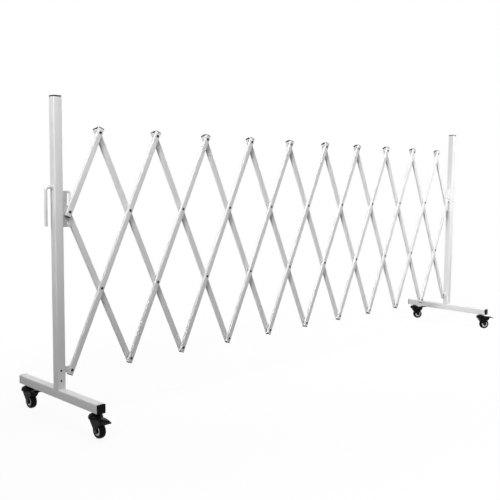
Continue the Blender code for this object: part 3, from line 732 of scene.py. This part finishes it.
def finish(slot):
    """The material of a slot, made the first time that it is asked for."""
    if slot not in MADE_FINISHES:
        *values, more = FINISHES[slot]
        MADE_FINISHES[slot] = new_finish(*values, **more)
    return MADE_FINISHES[slot]


# Operators


class BARRIER_OT_finishes(Operator):
    """Give every solid of the frame its finish"""
    bl_idname = "barrier.finishes"
    bl_label = "Finish the Frame"

    def execute(self, context):
        for part in frame["record"]["subparts"]:
            data = frame["nodes"][part["node"]].data
            data.materials.clear()
            data.materials.append(finish(part["material_slot"]))
        return {"FINISHED"}


class BARRIER_OT_tubes(Operator):
    """Make the slats, posts and beams with rolled corners"""
    bl_idname = "barrier.tubes"
    bl_label = "Slats, Posts and Beams"

    def execute(self, context):
        size = context.scene.barrier_tubes
        both = {"steps": size.corner_steps,
                "hole": context.scene.barrier_fasteners.shank_radius + SKIN}
        slat = {"width": size.slat_width, "depth": size.slat_depth, "wall": size.slat_wall,
                "corner": size.slat_corner, "tail": SLAT_TAIL, "drilled": True, **both}
        square = {"width": size.post_size, "depth": size.post_size, "wall": size.post_wall,
                  "corner": size.post_corner, "tail": 0.0, "drilled": False, **both}
        for name, way, matrix, pivots in slats():
            points = points_mesh(name, [(0, 0, height) for height, column, row in pivots])
            tube = grown(name + "_tube", points, tube_tree, PAINT, **slat)
            dressed(name + "_tube", placed(tube, matrix, into_layer(way)), PAINT, name, name)
        for side in SIDES:
            for node, axis in ((side + "_post", 2), (side + "_foot_beam", 1)):
                low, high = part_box(node)
                centre = middle(node)
                foot, turn = FOOT_GROOVE, Matrix.Identity(4)
                if axis == 1:
                    centre.z = low.z + size.post_size / 2
                    foot, turn = 0, UPRIGHT.inverted()
                half = (high[axis] - low[axis]) / 2
                points = points_mesh(node, [(0, 0, foot - half), (0, 0, half)])
                tube = grown(node + "_tube", points, tube_tree, PAINT, **square)
                dressed(node + "_tube", placed(tube, moved(centre), turn), PAINT,
                        side + "_stand", node)
        return {"FINISHED"}


def rivet(name, front, rear, washer, size):
    """Rivet along Y from a domed head to its set end, with a washer between the layers."""
    profile = dome(size.head_radius, size.head_height, front - SKIN, 6)
    profile.append((size.shank_radius, front - SKIN))
    if washer:
        gap = LAYER_GAP / 2 - SKIN
        profile += [(size.shank_radius, -gap), (size.washer_radius, -gap),
                    (size.washer_radius, gap), (size.shank_radius, gap)]
    seat = rear + SKIN
    profile += [(size.shank_radius, seat), (size.tail_radius, seat),
                (size.tail_radius, seat + size.tail_height * 0.45),
                (size.tail_radius * 0.8, seat + size.tail_height * 0.9),
                (0, seat + size.tail_height)]
    return lathe(name, profile, size.sides)


class BARRIER_OT_rivets(Operator):
    """Set a rivet in every pivot"""
    bl_idname = "barrier.rivets"
    bl_label = "Rivets"

    def execute(self, context):
        size = context.scene.barrier_fasteners
        face = LAYER_GAP / 2 + context.scene.barrier_tubes.slat_depth
        # By kind: through two slats, the sliding pin in a slot, and on a pivot tab
        shapes = [scratch(name, rivet(name, -face, rear, washer, size)) for name, rear, washer in (
            ("rivet_through", face, True), ("rivet_in_slot", face, False),
            ("rivet_on_tab", PLATE / 2, False))]
        for name, way, matrix, pivots in slats():
            if way < 0:
                continue
            kinds = [(2 if row == ROWS - 1 else 1) if column in (0, COLUMNS) else 0
                     for height, column, row in pivots]
            points = points_mesh(name, [(0, 0, height) for height, column, row in pivots],
                                 kind=kinds)
            rivets = grown(name + "_rivets", points, kinds_tree, STEEL, first=shapes[0],
                           second=shapes[1], third=shapes[2])
            dressed(name + "_rivets", placed(rivets, matrix), STEEL, name)
        for shape in shapes:
            bpy.data.objects.remove(shape)
        end_rivet = rivet("right_tab_rivet", -PLATE / 2, face, False, size)
        end_rivet = placed(end_rivet, moved(pivot_place(COLUMNS, ROWS - 1)))
        dressed("right_tab_rivet", end_rivet, STEEL, "right_stand")
        return {"FINISHED"}


def plug(name, outer, inner, corner, thickness, depth, edge, steps):
    """Push-in plug whose flange sits on a tube's end at z = 0; outer and inner are (x, y)."""
    body = [side - 2 * FIT for side in inner]
    inset = 2 * edge
    top = FIT + thickness
    return stack(name, [
        (-depth, body[0] - inset, body[1] - inset, edge),
        (edge - depth, *body, edge),
        (FIT, *body, edge),
        (FIT, *outer, corner),
        (top - edge, *outer, corner),
        (top - 0.3 * edge, outer[0] - 0.6 * edge, outer[1] - 0.6 * edge, corner - 0.3 * edge),
        (top, outer[0] - inset, outer[1] - inset, corner - 0.9 * edge),
    ], steps)


class BARRIER_OT_plugs(Operator):
    """Close the tubes' ends with black plugs"""
    bl_idname = "barrier.plugs"
    bl_label = "Plugs and Caps"

    def execute(self, context):
        tubes = context.scene.barrier_tubes
        size = context.scene.barrier_plastic
        wall = 2 * tubes.slat_wall
        shape = scratch("slat_plug", plug(
            "slat_plug", (tubes.slat_width, tubes.slat_depth),
            (tubes.slat_width - wall, tubes.slat_depth - wall), tubes.slat_corner,
            size.slat_plug, size.slat_plug_depth, size.edge, tubes.corner_steps))
        for name, way, matrix, pivots in slats():
            ends = [(0, 0, pivots[0][0] - SLAT_TAIL), (0, 0, pivots[-1][0] + SLAT_TAIL)]
            points = points_mesh(name, ends, turn=[math.pi, 0.0])
            plugs = grown(name + "_plugs", points, row_tree, PLASTIC, shape=shape)
            dressed(name + "_plugs", placed(plugs, matrix, into_layer(way)), PLASTIC, name)
        bpy.data.objects.remove(shape)
        outer = (tubes.post_size,) * 2
        inner = (tubes.post_size - 2 * tubes.post_wall,) * 2
        for side in SIDES:
            post_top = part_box(side + "_post")[1].z
            cap_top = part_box(side + "_post_cap")[1].z
            cap = plug("cap", outer, inner, tubes.post_corner, cap_top - post_top - FIT,
                       size.post_plug_depth, size.edge, tubes.corner_steps)
            top = moved(*POST_AXIS[side].xy, post_top)
            dressed(side + "_cap", placed(cap, top), PLASTIC, side + "_stand", side + "_post_cap")
            low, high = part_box(side + "_foot_beam")
            for end, y, turn in (("front", low.y, UPRIGHT), ("rear", high.y, UPRIGHT.inverted())):
                centre = moved(POST_AXIS[side].x, y, low.z + tubes.post_size / 2)
                dressed(f"{side}_{end}_beam_plug", placed(cap, centre, turn), PLASTIC,
                        side + "_stand", f"{side}_{end}_end_plug")
        return {"FINISHED"}


def screw(size):
    """Round-headed screw along Y with a cross recess, its head at -Y."""
    shank = 0.002
    neck = size.screw_radius * 0.5
    head = lathe("screw", [
        *dome(size.screw_radius, size.screw_height, -SKIN, 5), (size.screw_radius, -SKIN),
        (neck, -SKIN), (neck, shank), (0, shank)], size.sides)
    half = size.recess_width / 2
    arm = size.screw_radius * 0.6
    deep = -size.screw_height * 0.35
    return carved("screw", head, [
        ("DIFFERENCE", block("recess", (-x, -0.01, -z), (x, deep, z)))
        for x, z in ((half, arm), (arm, half))])


class BARRIER_OT_screws(Operator):
    """Screw the posts to their beams and the brackets to the posts"""
    bl_idname = "barrier.screws"
    bl_label = "Screws"

    post_heights = (0.1385, 0.1726)
    post_offset = 0.002
    slot_rises = (-0.040, 0.060)              # from the sliding pin to the bracket's screws

    def execute(self, context):
        shape = scratch("screw", screw(context.scene.barrier_fasteners))

        def row(places, turns):
            return grown("screws", points_mesh("screws", places, turn=turns), row_tree, STEEL,
                         shape=shape)

        for side, way in SIDES.items():
            axis = POST_AXIS[side]
            fronts = row([(-self.post_offset, -POST_HALF, height) for height in
                          self.post_heights], [0.3, 1.1])
            # The right stand is the left one turned round, so its screws are at the back.
            fronts = placed(fronts, moved(axis), turned(math.pi * (way < 0), "Z"))
            levels = [pivot_place(0, 1).z + rise for rise in self.slot_rises]
            levels.append(BOTTOM_ROW + TAB_RISE)
            flanges = row([(height, 0, 0) for height in levels], [0.5, 1.4, 0.9])
            # The row lies along X with its heads at -Y: stand it up, facing along the lattice.
            upright = Matrix(((0, -1, 0, 0), (0, 0, 1, 0), (1, 0, 0, 0), (0, 0, 0, 1)))
            if way < 0:
                upright = Matrix.Diagonal((-1, 1, 1, 1)) @ upright
            seat = moved(axis.x + way * (POST_HALF + FIT + PLATE),
                         axis.y + (PLATE / 2 + FLANGE_WIDTH) / 2, 0)
            flanges = placed(flanges, seat, upright)
            dressed(side + "_screws", joined(side + "_screws", [fronts, flanges]), STEEL,
                    side + "_stand")
        bpy.data.objects.remove(shape)
        return {"FINISHED"}


def angle_bracket(name, low, high, cuts, edge):
    """Angle of plate: a flange on the post's face, and a leaf that stands out from it."""
    start = POST_HALF + FIT
    bend = POST_HALF + TAB_REACH - PLATE_CORNER
    outline = [(start, low),
               *arc((bend, low + PLATE_CORNER), PLATE_CORNER, -math.pi / 2, 0, 8),
               *arc((bend, high - PLATE_CORNER), PLATE_CORNER, 0, math.pi / 2, 8),
               (start, high)]
    leaf = prism(name, outline, -PLATE / 2, PLATE / 2)
    flange = block("flange", (start, PLATE / 2 - FIT, low + SKIN),
                   (start + PLATE, FLANGE_WIDTH, high - SKIN))
    return carved(name, leaf, [("UNION", flange), *cuts], edge)


class BARRIER_OT_brackets(Operator):
    """Make the slotted brackets and the pivot tabs"""
    bl_idname = "barrier.brackets"
    bl_label = "Brackets"

    def execute(self, context):
        edge = context.scene.barrier_links.edge
        radius = SLOT_WIDTH / 2
        slot = prism("slot", [
            *arc((PIVOT_OUTSTAND, radius - SLOT_BELOW), radius, math.pi, 2 * math.pi, 12),
            *arc((PIVOT_OUTSTAND, SLOT_ABOVE - radius), radius, 0, math.pi, 12)], -PLATE, PLATE)
        half = TAB_HEIGHT / 2
        for side, way in SIDES.items():
            mirror = Matrix.Diagonal((way, 1, 1, 1))
            for name, low, high, cuts, height in (
                    ("slot_bracket", -SLOT_PLATE_BELOW, SLOT_PLATE_ABOVE,
                     [("DIFFERENCE", slot.copy())], pivot_place(0, 1).z),
                    ("pivot_bracket", TAB_RISE - half, TAB_RISE + half, [], BOTTOM_ROW)):
                mesh = angle_bracket(name, low, high, cuts, edge)
                place = moved(POST_AXIS[side] + Vector((0, 0, height)))
                dressed(f"{side}_{name}_plate", placed(mesh, place, mirror), PAINT,
                        side + "_stand", f"{side}_{name}")
        return {"FINISHED"}


class BARRIER_OT_coupling(Operator):
    """Make the hook and the two eyes, welded to the posts"""
    bl_idname = "barrier.coupling"
    bl_label = "Hook and Eyes"

    def execute(self, context):
        size = context.scene.barrier_links

        def weld(line, edges, **seed):
            return grown("weld", points_mesh("weld", line, edges), bead_tree, PAINT,
                         radius=size.bead, pitch=size.bead_pitch, **seed)

        axis = POST_AXIS["left"]
        leg = -POST_HALF - HOOK_STANDOFF
        corners = [axis + Vector(point) for point in (
            (-POST_HALF - FIT, 0, HOOK_HEIGHT), (leg, 0, HOOK_HEIGHT),
            (leg, 0, HOOK_HEIGHT - HOOK_DROP))]
        bar = grown("hook", points_mesh("hook", corners, [(0, 1), (1, 2)]), bar_tree, PAINT,
                    radius=HOOK_ROD, bend=HOOK_BEND, sides=size.rod_sides)
        dressed("hook_bar", carved("hook", bar, edge=0.0012, segments=3), PAINT, "left_stand",
                "left_coupling_hook")
        ring = [(axis.x - POST_HALF - SKIN, axis.y + a, HOOK_HEIGHT + b)
                for a, b in arc((0, 0), HOOK_ROD + size.bead * 0.3, 0, 2 * math.pi, 24)[:-1]]
        edges = [(point, (point + 1) % len(ring)) for point in range(len(ring))]
        dressed("hook_weld", weld(ring, edges), PAINT, "left_stand")
        start = POST_HALF + FIT
        centre = POST_HALF + EYE_CENTRE
        rim = EYE_HOLE + EYE_RIM
        outline = [(start, -rim), *arc((centre, 0), rim, -math.pi / 2, math.pi / 2, 28),
                   (start, rim)]
        for name in ("upper", "lower"):
            node = f"right_{name}_eye"
            place = moved(POST_AXIS["right"] + Vector((0, 0, middle(node).z)))
            hole = drum(EYE_HOLE, -OVERRUN * 2, OVERRUN * 2, 40)
            hole = placed(hole, moved(centre, 0, 0), UPRIGHT)
            leaf = prism(name, outline, -EYE_THICKNESS / 2, EYE_THICKNESS / 2, "Z")
            eye = carved(name, leaf, [("DIFFERENCE", hole)], size.edge)
            dressed(f"{name}_eye_plate", placed(eye, place), PAINT, "right_stand", node)
            beads = []
            for way in (-1, 1):
                level = way * (EYE_THICKNESS / 2 + size.bead * 0.2)
                beads.append(weld([(start, -rim + size.bead, level),
                                   (start, rim - size.bead, level)], [(0, 1)], seed=5 + way))
            dressed(f"{name}_eye_weld", placed(joined("weld", beads), place), PAINT,
                    "right_stand")
        return {"FINISHED"}


def fork_mesh(size):
    """Moulded fork: a dome over two tapering cheeks, rounded like a casting."""
    shares = ((0.0, 0.0), (1.0, 0.0), (1.0, 0.30), (0.985, 0.48), (0.94, 0.68), (0.86, 0.85),
              (0.72, 0.97), (0.60, 1.0), (0.0, 1.0))
    height = HEAD_TOP - HEAD_BOTTOM
    head = placed(lathe("head", [(HEAD_RADIUS * wide, HEAD_BOTTOM + height * high)
                                 for wide, high in shares], 48), UPRIGHT)
    shoulder = HEAD_BOTTOM + height * 0.25
    outline = [(-FORK_FRONT, shoulder), (-FORK_FRONT, FORK_SHOULDER),
               *arc((TRAIL, WHEEL_RADIUS), FORK_BOSS, math.radians(215), math.radians(355), 14),
               *FORK_EAR, (POCKET_START, shoulder)]
    hub_place = moved(TRAIL, 0, WHEEL_RADIUS)
    half = WELL_WIDTH / 2
    rear = FORK_EAR[3][0] + OVERRUN
    steps = [
        ("UNION", prism("cheeks", outline, -FORK_WIDTH / 2, FORK_WIDTH / 2)),
        ("DIFFERENCE", placed(drum(WHEEL_RADIUS + WELL_GAP, -half, half, 48), hub_place)),
        ("DIFFERENCE", block("mouth", (-FORK_FRONT - OVERRUN, -half, 0),
                             (rear, half, FORK_WEB_BOTTOM))),
        ("DIFFERENCE", block("pocket", (POCKET_START, -half, WHEEL_RADIUS),
                             (rear, half, HEAD_TOP + OVERRUN))),
        ("DIFFERENCE", placed(drum(STEM_ROOM, WHEEL_RADIUS, HEAD_BOTTOM, 32), UPRIGHT)),
    ]
    for way in (-1, 1):
        start, end = sorted((way * (half + BOSS_START), way * (FORK_WIDTH / 2 + BOSS_PROUD)))
        steps.append(("UNION", placed(drum(FORK_BOSS, start, end, 32), hub_place)))
    body = scratch("fork", carved("fork", head, steps))
    modify(body, "REMESH", mode="VOXEL", voxel_size=size.voxel)
    modify(body, "SMOOTH", factor=0.5, iterations=3)
    modify(body, "DECIMATE", ratio=size.keep)
    return settled(body)


def pedal_meshes(size):
    """Brake pedal, pressed down, and its grip ribs, about the pedal's pin."""
    outline = [*PEDAL_UPPER, *PEDAL_UNDER,
               *arc((TRAIL, WHEEL_RADIUS), SHOE_REACH, *SHOE_ARC, 6), PEDAL_HEEL]
    half = WELL_WIDTH / 2 - FIT
    body = carved("pedal", prism("pedal", outline, -half, half), edge=0.0008, segments=3)
    bend, tip = PEDAL_UPPER[2:4]
    slope = math.atan2(tip[1] - bend[1], tip[0] - bend[0])
    ribs = grown("ribs", points_mesh("ribs", [(0, 0, 0)]), rib_tree, PLASTIC,
                 count=size.rib_count, pitch=size.rib_pitch, length=2 * (half - RIB_MARGIN),
                 height=size.rib_height)
    first = moved(bend[0] + RIB_MARGIN, 0, bend[1] - RIB_SINK)
    back = moved(-PEDAL_PIN[0], 0, -PEDAL_PIN[1])
    return placed(body, back), placed(ribs, back, first, turned(-slope, "Y"))


def mirrored(profile):
    """Profile of (radius, y) points followed by its mirror image in y."""
    return [*profile, *((radius, -along) for radius, along in reversed(profile))]


def wheel_meshes(size):
    """Tyre, hub and bearing cap about the axle, each turned from half of its section."""
    sections = {
        "tyre": ((0.0154, -0.0094), (0.0159, -0.0101), (0.0172, -0.0104), (0.0196, -0.0105),
                 (0.0217, -0.0099), (0.0233, -0.0084), (0.0243, -0.0062), (0.0248, -0.0034),
                 (0.0250, -0.0010)),
        "hub": ((0.0041, -0.0106), (0.0074, -0.0106), (0.0080, -0.0090), (0.0096, -0.0086),
                (0.0116, -0.0089), (0.0123, -0.0097), (0.0145, -0.0099), (0.0150, -0.0094)),
        "cap": ((0.0041, -0.0112), (0.0072, -0.0112), (0.0083, -0.0106), (0.0086, -0.0095),
                (0.0082, -0.0088)),
    }
    return [lathe(name, mirrored(half), size.wheel_sides, ring=True)
            for name, half in sections.items()]


def hexagon(radius, start, end, chamfer=0.0006):
    """Hexagonal nut along Y, its corners cut back at both faces."""
    return lathe("nut", [(0, start), (radius * 0.9, start), (radius, start + chamfer),
                         (radius, end - chamfer), (radius * 0.9, end), (0, end)], 6)


def axle_mesh(sides):
    """Axle bolt through the fork's bosses: a round head in front and a nut behind."""
    seat = FORK_WIDTH / 2 + BOSS_PROUD + SKIN
    crown, tip = -seat - 0.0012, seat + 0.0014
    shank = lathe("axle", [(0, crown), (0.0030, crown), (0.0048, -seat - 0.0007),
                           (0.0050, -seat), (0.0038, -seat), (0.0038, seat), (0.0030, tip),
                           (0, tip)], sides)
    return joined("axle", [shank, hexagon(0.0054, seat, seat + 0.0011, 0.0003)])


def stem_mesh(sides):
    """Threaded stem, its two nuts and the kingpin under the dome."""
    turns, pitch = 9, 0.001
    crest, root = 0.0050, 0.0046
    kingpin, bottom = 0.0074, HEAD_BOTTOM - 0.0023
    nut = 0.0095
    thread_top = BEAM_BOTTOM + 0.018
    profile = [(0, bottom), (0.0070, bottom), (kingpin, HEAD_BOTTOM - 0.0018),
               (kingpin, HEAD_BOTTOM - FIT), (root, HEAD_BOTTOM - FIT)]
    for turn in range(turns):
        level = thread_top - (turns - turn) * pitch
        profile += [(crest, level), (root, level + pitch / 2)]
    profile += [(0.0044, thread_top), (0, thread_top)]
    nuts = [hexagon(nut, HEAD_TOP + FIT, BEAM_BOTTOM - FIT),
            hexagon(nut, BEAM_BOTTOM + 0.0018, BEAM_BOTTOM + 0.0073)]
    return placed(joined("stem", [lathe("stem", profile, sides), *nuts]), UPRIGHT)


class BARRIER_OT_casters(Operator):
    """Make the four braked casters"""
    bl_idname = "barrier.casters"
    bl_label = "Casters"

    def execute(self, context):
        size = context.scene.barrier_casters
        sides = context.scene.barrier_fasteners.sides
        joints = {joint["name"]: joint for joint in frame["joints"]}
        fork = fork_mesh(size)
        pedal, ribs = pedal_meshes(size)
        tyre, hub, cap = wheel_meshes(size)
        axle, stem = axle_mesh(sides), stem_mesh(sides)
        for label in (f"{side}_{end}" for side in SIDES for end in ("front", "rear")):
            foot = moved(*middle(label + "_caster_stem").xy, 0)
            spin = joints[label + "_wheel_spin"]["axis"]
            swivel = foot @ turned(math.atan2(-spin[0], spin[1]), "Z")
            at_hub = swivel @ moved(TRAIL, 0, WHEEL_RADIUS)
            lift = -math.radians(joints[label + "_pedal_press"]["range_deg"][1])
            at_pin = swivel @ moved(PEDAL_PIN[0], 0, PEDAL_PIN[1]) @ turned(lift, "Y")
            stand = label.split("_")[0] + "_stand"
            caster, lever, wheel = (label + part for part in ("_caster", "_pedal", "_wheel"))
            for name, mesh, place, slot, body, *nodes in (
                    ("stem", stem, foot, STEEL, stand, "caster_stem"),
                    ("fork", fork, swivel, PLASTIC, caster, "caster_fork"),
                    ("axle_bolt", axle, at_hub, STEEL, caster),
                    ("pedal", pedal, at_pin, PLASTIC, lever, "brake_pedal"),
                    ("pedal_ribs", ribs, at_pin, PLASTIC, lever),
                    ("tyre_ring", tyre, at_hub, RUBBER, wheel, "tyre"),
                    ("hub", hub, at_hub, HUB, wheel, "wheel_hub"),
                    ("bearing_cap", cap, at_hub, PLASTIC, wheel)):
                dressed(f"{label}_{name}", placed(mesh, place), slot, body,
                        *(f"{label}_{node}" for node in nodes))
        return {"FINISHED"}


class BARRIER_OT_stage(Operator):
    """Set the camera, the floor and the lamps"""
    bl_idname = "barrier.stage"
    bl_label = "Stage"

    # Where the photograph was taken from: the place, the heading from +Y towards +X, the tilt
    # above the horizon and the roll.
    camera_place = (-2.5026, -2.0978, 0.8008)
    heading = math.radians(45.267)
    tilt = math.radians(-5.383)
    roll = math.radians(0.525)
    floor_size = 60.0
    shadow_fades = (0.7, 1.3)
    # Each soft box: its place, what it faces, its width and height, its power, and its spread
    # in degrees.
    lamps = {
        "overhead": ((0.0, -0.5, 7.0), (0.0, 0.0, 0.0), 3.0, 1.5, 49.0, 100),
        "overhead_right": ((0.7, -0.3, 2.8), (0.7, 0.0, 0.0), 2.4, 1.2, 2.9, 140),
        "beside_left": ((-3.6, -1.2, 1.5), (0.3, 0.0, 0.7), 1.0, 0.8, 3.66, 50),
        "left_top": ((-1.75, -0.95, 1.9), (-1.3, 0.0, 1.0), 0.5, 0.5, 0.9, 60),
        "front": ((0.3, -4.0, 0.8), (0.3, 0.0, 0.4), 3.0, 1.0, 6.45, 140),
        "right_top": ((1.8, -1.7, 1.5), (1.3, 0.0, 0.9), 0.6, 0.6, 3.56, 60),
        "right_low": ((-4.5, -2.0, 3.2), (1.35, 0.0, 0.3), 1.0, 1.0, 6.6, 28),
    }

    def shown_to_lens(self, tree):
        """1 for what the camera sees, straight, in a gloss or through glass, and else 0."""
        path = add(tree, "ShaderNodeLightPath")
        seen = maths(tree, "MAXIMUM", path["Is Camera Ray"], path["Is Glossy Ray"])
        return maths(tree, "MAXIMUM", seen, path["Is Transmission Ray"])

    def make_camera(self, context):
        """Camera at the photograph's viewing angle."""
        data = bpy.data.cameras.new("camera")
        data.sensor_fit = "HORIZONTAL"
        data.sensor_width = 36.0
        data.lens = context.scene.barrier_stage.lens
        data.clip_end = 200.0
        camera = scratch("camera", data)
        camera.matrix_world = moved(self.camera_place) @ turned(-self.heading, "Z") \
            @ turned(math.pi / 2 + self.tilt, "X") @ turned(self.roll, "Z")
        context.scene.camera = camera

    def make_floor(self, settings):
        """Pale floor that keeps a little of the object's shadow."""
        half = self.floor_size / 2
        mesh = bpy.data.meshes.new("floor")
        mesh.from_pydata([(-half, -half, 0), (half, -half, 0), (half, half, 0),
                          (-half, half, 0)], [], [(0, 1, 2, 3)])
        floor = scratch("floor", mesh)
        pale = bpy.data.materials.new("pale_floor")
        pale.use_nodes = True
        tree = pale.node_tree
        tree.nodes.remove(tree.nodes["Principled BSDF"])
        white = shade(tree, "Emission", {"Color": (1, 1, 1, 1), "Strength": 1.0})
        matt = shade(tree, "BsdfDiffuse", {"Color": (1, 1, 1, 1)})
        place = shade(tree, "TexCoord", (), "Object")
        squeezed = shade(tree, "VectorMath", {0: place, 1: (0.5, 1, 1)}, operation="MULTIPLY")
        away = shade(tree, "VectorMath", {0: squeezed}, "Value", operation="LENGTH")
        near = ranged(tree, away, *self.shadow_fades, settings.shadow, 0.0)
        shown = shade(tree, "MixShader", {0: near, 1: white, 2: matt})
        lit = shade(tree, "BsdfDiffuse", {"Color": (*settings.floor, 1)})
        mixed = shade(tree, "MixShader", {0: self.shown_to_lens(tree), 1: lit, 2: shown})
        feed(tree, tree.nodes["Material Output"], {"Surface": mixed})
        mesh.materials.append(pale)

    def make_world(self, context):
        """Even light, and a white background."""
        world = bpy.data.worlds.new("studio")
        world.use_nodes = True
        tree = world.node_tree
        strength = ranged(tree, self.shown_to_lens(tree), new_low=context.scene.barrier_stage.sky)
        feed(tree, tree.nodes["Background"], {"Color": (1, 1, 1, 1), "Strength": strength})
        context.scene.world = world

    def make_lamps(self):
        """Soft boxes, each looking at its target."""
        for name, (origin, target, width, height, power, spread) in self.lamps.items():
            lamp = bpy.data.lights.new(name, "AREA")
            lamp.shape = "RECTANGLE"
            lamp.size = width
            lamp.size_y = height
            lamp.energy = power
            lamp.spread = math.radians(spread)
            way = (Vector(target) - Vector(origin)).normalized()
            scratch(name, lamp).matrix_world = moved(origin) \
                @ way.to_track_quat("-Z", "Y").to_matrix().to_4x4()

    def execute(self, context):
        self.make_camera(context)
        self.make_floor(context.scene.barrier_stage)
        self.make_world(context)
        self.make_lamps()
        context.scene.view_settings.view_transform = "Standard"
        return {"FINISHED"}


class BARRIER_PT_panel(Panel):
    """The barrier's pieces and settings"""
    bl_idname = "BARRIER_PT_panel"
    bl_label = "Barrier"
    bl_space_type = "VIEW_3D"
    bl_region_type = "UI"
    bl_category = "Barrier"

    def draw(self, context):
        for operator in OPERATORS:
            self.layout.operator(operator.bl_idname)
        for label in SETTINGS:
            settings = getattr(context.scene, label)
            box = self.layout.box()
            for name in settings.bl_rna.properties.keys():
                if name not in ("rna_type", "name"):
                    box.prop(settings, name)


SETTINGS = {
    "barrier_tubes": TubeSettings,
    "barrier_fasteners": FastenerSettings,
    "barrier_plastic": PlasticSettings,
    "barrier_links": LinkSettings,
    "barrier_casters": CasterSettings,
    "barrier_finish": FinishSettings,
    "barrier_stage": StageSettings,
}
OPERATORS = (BARRIER_OT_finishes, BARRIER_OT_tubes, BARRIER_OT_rivets, BARRIER_OT_plugs,
             BARRIER_OT_screws, BARRIER_OT_brackets, BARRIER_OT_coupling, BARRIER_OT_casters,
             BARRIER_OT_stage)


def register():
    """Register the settings, the operators and the panel."""
    for label, group in SETTINGS.items():
        bpy.utils.register_class(group)
        setattr(bpy.types.Scene, label, PointerProperty(type=group))
    for operator in OPERATORS:
        bpy.utils.register_class(operator)
    bpy.utils.register_class(BARRIER_PT_panel)


def unregister():
    """Take them away again."""
    bpy.utils.unregister_class(BARRIER_PT_panel)
    for operator in reversed(OPERATORS):
        bpy.utils.unregister_class(operator)
    for label, group in reversed(SETTINGS.items()):
        delattr(bpy.types.Scene, label)
        bpy.utils.unregister_class(group)


def main():
    """Make the pieces in order."""
    register()
    bpy.ops.barrier.finishes()
    bpy.ops.barrier.tubes()
    bpy.ops.barrier.rivets()
    bpy.ops.barrier.plugs()
    bpy.ops.barrier.screws()
    bpy.ops.barrier.brackets()
    bpy.ops.barrier.coupling()
    bpy.ops.barrier.casters()
    bpy.ops.barrier.stage()


if __name__ == "__main__":
    main()
